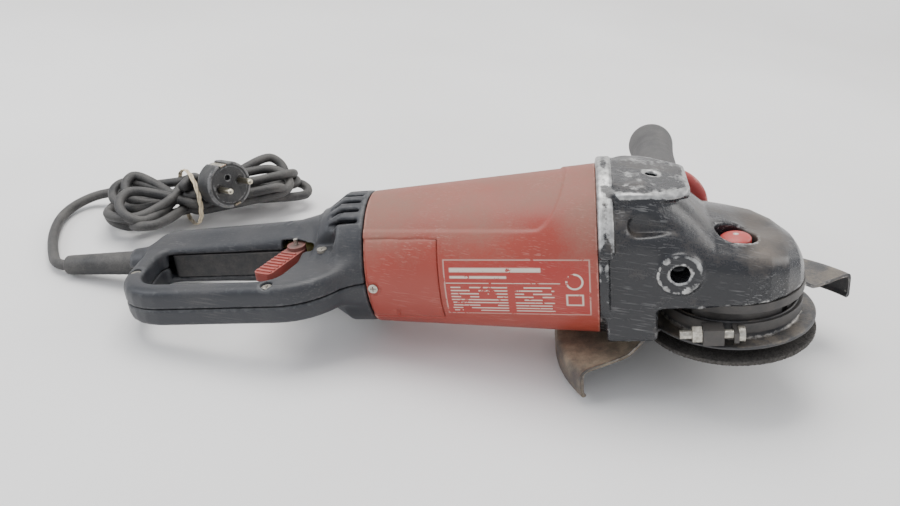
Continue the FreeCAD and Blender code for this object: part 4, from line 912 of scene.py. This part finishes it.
# Rear handle
# Two charcoal nylon shells meet on the tool's middle plane: a vented neck that turns on the motor
# housing, a round grip with the trigger in it and a flat bar that closes the loop.


def poly_distance(px, py, corners):
    """Distance from a flat polygon, less than nought inside it."""
    best = np.full(np.broadcast(px, py).shape, 1e9)
    sign = np.ones(best.shape)
    for (ax, ay), (bx, by) in zip(corners, corners[1:] + corners[:1]):
        ex, ey = bx - ax, by - ay
        wx, wy = px - ax, py - ay
        share = np.clip((wx * ex + wy * ey) / (ex * ex + ey * ey), 0, 1)
        best = np.minimum(best, (wx - ex * share) ** 2 + (wy - ey * share) ** 2)
        c1, c2, c3 = py >= ay, py < by, ex * wy > ey * wx
        sign = np.where((c1 & c2 & c3) | (~c1 & ~c2 & ~c3), -sign, sign)
    return sign * np.sqrt(best)


def round_off(corners, radii, parts=7):
    """A polygon's corners rounded by the given radii."""
    out = []
    for i, (corner, radius) in enumerate(zip(corners, radii)):
        here = np.array(corner, float)
        back, on = np.array(corners[i - 1]) - here, np.array(corners[(i + 1) % len(corners)]) - here
        back_len, on_len = np.linalg.norm(back), np.linalg.norm(on)
        back, on = back / back_len, on / on_len
        half_turn = math.acos(np.clip(back @ on, -1, 1)) / 2
        reach = min(radius / math.tan(half_turn), 0.49 * min(back_len, on_len))
        first, last = here + back * reach, here + on * reach
        for share in np.linspace(0, 1, parts):
            out.append(tuple((1 - share) ** 2 * first + 2 * share * (1 - share) * (
                here + (first + last - 2 * here) * 0.06) + share ** 2 * last))
    return out


grip_low, grip_high, grip_step = (-432, -79, -50), (-238, 50, 50), 1.25
x, y, z = field_grid(grip_low, grip_high, grip_step)
flat_x, flat_y = x[:, :, 0], y[:, :, 0]
loop_line = round_off([(-411.8, 20), (-412.8, -10), (-408.8, -74.8), (-276, -74.8), (-248, -44),
                       (-248, 42), (-286, 31)], [18, 12, 44, 44, 3, 6, 12])
loop = poly_distance(flat_x, flat_y, loop_line)[:, :, None]
handle = smooth_max(loop, np.abs(z) - 13.9, 7.0)
grip = np.hypot(y - 11, z) - np.interp(x, [-396, -300, -270], [17.4, 22.8, 30.0])
grip = smooth_max(smooth_max(grip, -396 - x, 0.5), x + 262, 6.0)
grip_ball = np.sqrt((x + 396) ** 2 + (y - 11) ** 2 + z ** 2) - 17.4
handle = smooth_min(handle, smooth_min(grip, grip_ball, 2.0), 7.0)
collar = np.hypot(y, z) - np.interp(x, [-428, -404], [10.4, 13.0])
handle = smooth_min(handle, smooth_max(collar, np.abs(x + 416) - 11.8, 2.0), 5.0)
neck = np.hypot(y, z) - np.interp(x, [-276, -259, -241], [33.5, 45.6, 45.9])
neck = smooth_max(smooth_max(neck, -278 - x, 3.0), x + 241.6, 1.5)
handle = smooth_min(handle, neck, 9.0)
gap_line = round_off([(-400, -9), (-396, -61), (-298, -61), (-290, -34), (-292, -7)],
                     [10, 20, 14, 16, 8])
gap = poly_distance(flat_x, flat_y, gap_line)[:, :, None]
handle = smooth_max(handle, -gap, 5.0)
around_neck = np.degrees(np.arctan2(z, y))
for angle in (52, 64, 76, 88, 100, 112, 124):
    turn_by = np.radians(around_neck - angle)
    slot_cut = np.maximum(np.abs(np.hypot(y, z) * np.sin(turn_by)) - 1.6, np.abs(x + 257) - 11)
    slot_cut = np.maximum(slot_cut, 38 - np.hypot(y, z)) + 99 * (np.cos(turn_by) < 0)
    handle = smooth_max(handle, -slot_cut, 1.5)
scoop = np.hypot(np.maximum(np.abs(x + 272) - 5, 0), y + 30) - 6.2
handle = smooth_max(handle, -smooth_max(scoop, 19.6 - z, 2.0), 3.0)
for sx, sy, top in ((-300, -68, 12), (-404, -42, 12), (-290, 33, 12)):
    handle = np.maximum(handle, -np.maximum(np.hypot(x - sx, y - sy) - 3.7, top - 2.1 - z))
for cut_room in (np.maximum(np.hypot(y, z) - 34.4, np.abs(x + 247) - 15),
                 np.maximum(np.hypot(y, z) - 40.5, np.abs(x + 257.9) - 3.1),
                 np.maximum(np.hypot(y - 11, z) - 14.2, np.abs(x + 332.5) - 62.5),
                 np.maximum(np.abs(x + 349) - 47, np.maximum(np.abs(y) - 12, np.abs(z) - 9)),
                 np.maximum(np.hypot(y, z) - 9.0, np.abs(x + 417) - 23),
                 np.maximum(np.abs(x + 296) - 13, np.maximum(np.abs(y + 8) - 12, np.abs(z - 9.5) - 6.5))):
    handle = np.maximum(handle, -cut_room)
emboss = np.minimum(np.abs(np.hypot(x + 318, y - 11) - 3.2) - 0.5,
                    np.maximum(np.abs(np.abs(x + 330) - 3) - 0.5, np.abs(y - 11) - 3.4))
emboss = np.minimum(emboss, np.maximum(np.abs(np.abs(y - 11) - 3) - 0.5, np.abs(x + 330) - 3.4))
emboss = np.minimum(emboss, np.maximum(np.abs(np.abs(x + 307) + np.abs(y - 11) - 4) - 0.7, -20 - z))
handle = handle - 0.45 * np.clip(0.5 - emboss, 0, 1) * (z > 12)
handle_edge = np.ones(handle.shape, bool)
handle_edge[1:-1, 1:-1, 1:-1] = False
handle[handle_edge] = np.maximum(handle[handle_edge], 0.5)

charcoal, tree, shader = finish("charcoal_nylon")
film = dusted(tree, -0.02, 30.0, 0.22)
edge = worn(tree, 0.14, 150.0)
marks = scratched(tree, 0.8, 0.9)
axes = node(tree, "SeparateXYZ", Vector=attribute(tree, "spot")["Vector"]).outputs
seam = between(tree, axes["Z"], -0.5, 0.5, 0.3)
tone = blend_colour(tree, edge, (0.020, 0.022, 0.027), (0.050, 0.052, 0.056))
tone = blend_colour(tree, times(tree, marks, 0.3), tone, (0.20, 0.19, 0.18))
tone = blend_colour(tree, times(tree, film, 0.5), tone, (0.13, 0.122, 0.115))
tone = blend_colour(tree, times(tree, seam, 0.5), tone, (0.012, 0.012, 0.013))
feed(tree, shader, Base_Color=tone, Roughness=reckon(tree, "MULTIPLY_ADD", film, 0.35, 0.42))
bump(tree, shader, grain(tree, 800.0), 0.25)
for name, cut_off, stands_for in (("handle_top", 0.12 - z, "handle_upper_shell"),
                                  ("handle_bottom", z + 0.12, "handle_lower_shell")):
    shell_points, shell_faces = skin_of(np.maximum(handle, cut_off), grip_low, grip_step)
    tool_mesh(name, shell_points, shell_faces, charcoal, "rear_handle", [stands_for])

# Cord boot
# A tapered rubber sleeve keeps the cord from kinking where it leaves the handle.
boot_place = Matrix.Rotation(math.radians(-90), 4, "Y")
ribs = [(9.0 - 1.6 * i / 27 - (0.35 if i % 3 == 2 else 0.0), 428 + 2 * i) for i in range(27)]
turned_piece("cord_sleeve", [(4.2, 408), (8.8, 408), (8.95, 426), *ribs, (7.4, 482.2), (6.6, 482.8),
                             (4.1, 482.8), (4.1, 463.5)], rubber, "rear_handle",
             ["cord_boot"], boot_place)

# Trigger, its lock and the switch
# The long black paddle lies under the fingers; a ribbed red lever by the thumb locks it.
dress(black_nylon, "trigger_paddle")
lever_red, tree, shader = finish("lever_red", Roughness=0.5)
ridge = node(tree, "TexNoise", Vector=object_place(tree), Scale=80.0, Detail=6.0)
film = dusted(tree, 0.10, 90.0, 0.15)
tone = blend_colour(tree, ridge.outputs[0], (0.30, 0.036, 0.028), (0.48, 0.11, 0.085))
# painted shade: the lever is painted darker within about 8.5 mm of its pivot, where it sinks into the
# handle's recess
from_pivot = node(tree, "VectorMath", {"operation": "DISTANCE"}, i0=object_place(tree),
                  i1=at(-297, -10, 12)).outputs["Value"]
pivot_shade = times(tree, between(tree, from_pivot, -1.0, 0.0085, 0.004), 0.85)
tone = blend_colour(tree, pivot_shade, tone, (0.060, 0.052, 0.045))
feed(tree, shader, Base_Color=blend_colour(tree, times(tree, film, 0.7), tone,
                                           (0.19, 0.15, 0.13)))
corner = node(tree, "Bevel", {"samples": 4}, Radius=0.0005)
made = node(tree, "Bump", Strength=0.3, Distance=0.0003, Height=ridge.outputs[0])
tree.links.new(corner.outputs[0], made.inputs["Normal"])
tree.links.new(made.outputs["Normal"], shader.inputs["Normal"])
dress(lever_red, "lock_lever")
dress(plain("wrapped_film", (0.52, 0.42, 0.10), (0.66, 0.56, 0.20), 0.3), "noise_capacitor")

# Side handle
# A faded red flange and a ribbed grey grip with a flared end, screwed in the far side's thread.
side_place = Matrix.Translation((-38, 0, 4)) @ Matrix.Rotation(math.radians(-90), 4, "X")
flange_red, tree, shader = finish("flange_red", Roughness=0.5)
film = dusted(tree, 0.16, 40.0, 0.2)
edge = worn(tree, 0.14)
tone = blend_colour(tree, edge, (0.42, 0.050, 0.045), (0.60, 0.22, 0.19))
feed(tree, shader, Base_Color=blend_colour(tree, times(tree, film, 0.6), tone,
                                           (0.24, 0.17, 0.15)))
bump(tree, shader, grain(tree, 900.0), 0.25)
turned_piece("side_flange_cup", [(6.2, 53.3), (26.8, 53.3), (30.0, 55), (30.9, 56.6), (29.9, 59.2),
                                 (25.5, 61.8), (21.8, 63.4), (16.2, 65.9), (6.2, 65.9)], flange_red, "tool",
             ["side_handle_flange"], side_place)
grip_skin, tree, shader = finish("grip_rubber", Roughness=0.72)
film = dusted(tree, 0.20, 60.0, 0.2)
tone = node(tree, "TexNoise", Vector=object_place(tree), Scale=50.0, Detail=5.0)
tone = blend_colour(tree, tone.outputs[0], (0.040, 0.040, 0.042), (0.075, 0.074, 0.074))
feed(tree, shader, Base_Color=blend_colour(tree, times(tree, film, 0.55), tone,
                                           (0.17, 0.16, 0.15)))
bump(tree, shader, grain(tree, 1000.0), 0.4)
ribbed = [(16.4 - (0.55 if i % 2 else 0.0), 92 + 2.2 * i) for i in range(33)]
turned_piece("side_grip_sleeve", [(6.2, 66.1), (15.2, 66.1), (15.9, 67.5), (15.1, 74), (15.4, 84), *ribbed,
                                  (16.5, 169), (17.6, 182), (18.7, 194.5), (18.6, 198.5), (16.8, 202.4),
                                  (14, 202.9), (0.0, 202.9), (0.0, 130.2), (6.2, 130.2)], grip_skin, "tool",
             ["side_handle_grip"], side_place, fine=1.6)

# Band and plug
# A twisted rubber band ties the hank; the round earthed plug hangs from the cord's end.
cream, tree, shader = finish("band_cream", Roughness=0.6)
tone = node(tree, "TexNoise", Vector=object_place(tree), Scale=300.0, Detail=5.0)
feed(tree, shader, Base_Color=ramp(tree, tone.outputs[0], [(0.3, (0.46, 0.37, 0.24)),
                                                          (0.7, (0.66, 0.57, 0.41))]))
bump(tree, shader, tone.outputs[0], 0.4)
band_points, band_faces = [], []
for strand_at in range(3):
    start = len(band_points)
    for i in range(160):
        angle = 2 * math.pi * i / 160
        twist = 5 * angle + strand_at * 2 * math.pi / 3
        off_u, off_r = 1.15 * math.cos(twist), 0.12 + 0.42 * math.sin(twist)
        for j in range(8):
            bead = 2 * math.pi * j / 8
            out = off_r + 0.85 * math.cos(bead) * 0.45
            across_by, up_by = (28.9 + out) * math.cos(angle), 23.2 + (21.9 + out) * math.sin(angle)
            band_points.append(in_hank(-14.5 + off_u + 0.9 * math.sin(bead), across_by, up_by))
    band_faces += [tuple(face) for face in lattice(160, 8, True, True, start)]
back = lie.inverted()
tie_band = tool_mesh("tie_band", [back @ point for point in band_points], band_faces, cream,
                     "tool", ["hank_band"])
plug_axis = Vector((0.73, -0.619, 0.289)).normalized()
plug_place = (Matrix.Translation((-0.2002, 0.031, 0.0461)) @ Vector((0, 0, 1)).rotation_difference(
    plug_axis).to_matrix().to_4x4() @ Matrix.Rotation(math.radians(152), 4, "Z") @ Matrix.Scale(MM, 4))
plug_rubber, tree, shader = finish("plug_rubber", Roughness=0.55)
film = dusted(tree, 0.14, 70.0, 0.15)
edge = worn(tree, 0.18, 200.0)
marks = scratched(tree, 1.0, 0.8)
tone = blend_colour(tree, edge, (0.020, 0.021, 0.023), (0.15, 0.15, 0.15))
tone = blend_colour(tree, times(tree, marks, 0.3), tone, (0.25, 0.24, 0.23))
feed(tree, shader, Base_Color=blend_colour(tree, times(tree, film, 0.6), tone,
                                           (0.15, 0.145, 0.135)))
bump(tree, shader, grain(tree, 700.0), 0.3)
plug_low, plug_high, plug_step = (-21, -21, -43.5), (21, 21, 1.2), 0.6
x, y, z = field_grid(plug_low, plug_high, plug_step)
far = np.hypot(x, y)
plug = far - np.interp(z, [-42, -34, -24, -20, 0], [6.5, 9.0, 16.5, 19.4, 19.4])
plug = smooth_max(smooth_max(plug, z + 0.05, 2.6), -42 - z, 1.0)
plug = smooth_max(plug, -np.maximum(np.abs(far - 16.2) - 0.5, -0.7 - z), 0.6)
for side in (-1, 1):
    plug = smooth_max(plug, -np.maximum(np.abs(x - side * 18.6) - 2.0, np.maximum(
        np.abs(y) - 3.2, -22 - z)), 1.0)
    plug = smooth_max(plug, -np.maximum(np.hypot(x, y - side * 9.5) - 3.6, -0.8 - z), 0.8)
    plug = np.maximum(plug, -np.maximum(np.hypot(x, y - side * 9.5) - 2.45, -8 - z))
plug = smooth_max(plug, -np.maximum(np.hypot(x - 6.5, y) - 2.2, -5 - z), 0.8)
plug = np.maximum(plug, -(np.sqrt(far ** 2 + (z + 42) ** 2) - 4.1))
plug_points, plug_faces = skin_of(plug, plug_low, plug_step)
to_tool = back @ plug_place
plug = tool_mesh("plug_moulding", [to_tool @ Vector(point) for point in plug_points], plug_faces,
                 plug_rubber, "tool", ["plug_body"])
nickel = plain("nickel_pins", (0.42, 0.37, 0.26), (0.72, 0.68, 0.56), 0.28, 1.0, 400.0, 0.15)
pin_points, pin_faces = [], []
for side in (-1, 1):
    start = len(pin_points)
    tip = [(2.4, -8), (2.4, 16.4), (2.15, 17.6), (1.5, 18.5), (0.6, 18.9), (0.05, 19)]
    tip = [(0.05, -8)] + tip
    for radius, height in tip:
        pin_points += [to_tool @ Vector((radius * math.cos(a), side * 9.5 + radius * math.sin(a), height))
                       for a in np.linspace(0, 2 * math.pi, 28, endpoint=False)]
    pin_faces += lattice(len(tip), 28, False, True, start)
pins = tool_mesh("contact_pins", pin_points, pin_faces, nickel, "tool", ["plug_pins"])
dress(nickel, "plug_earth_clips")
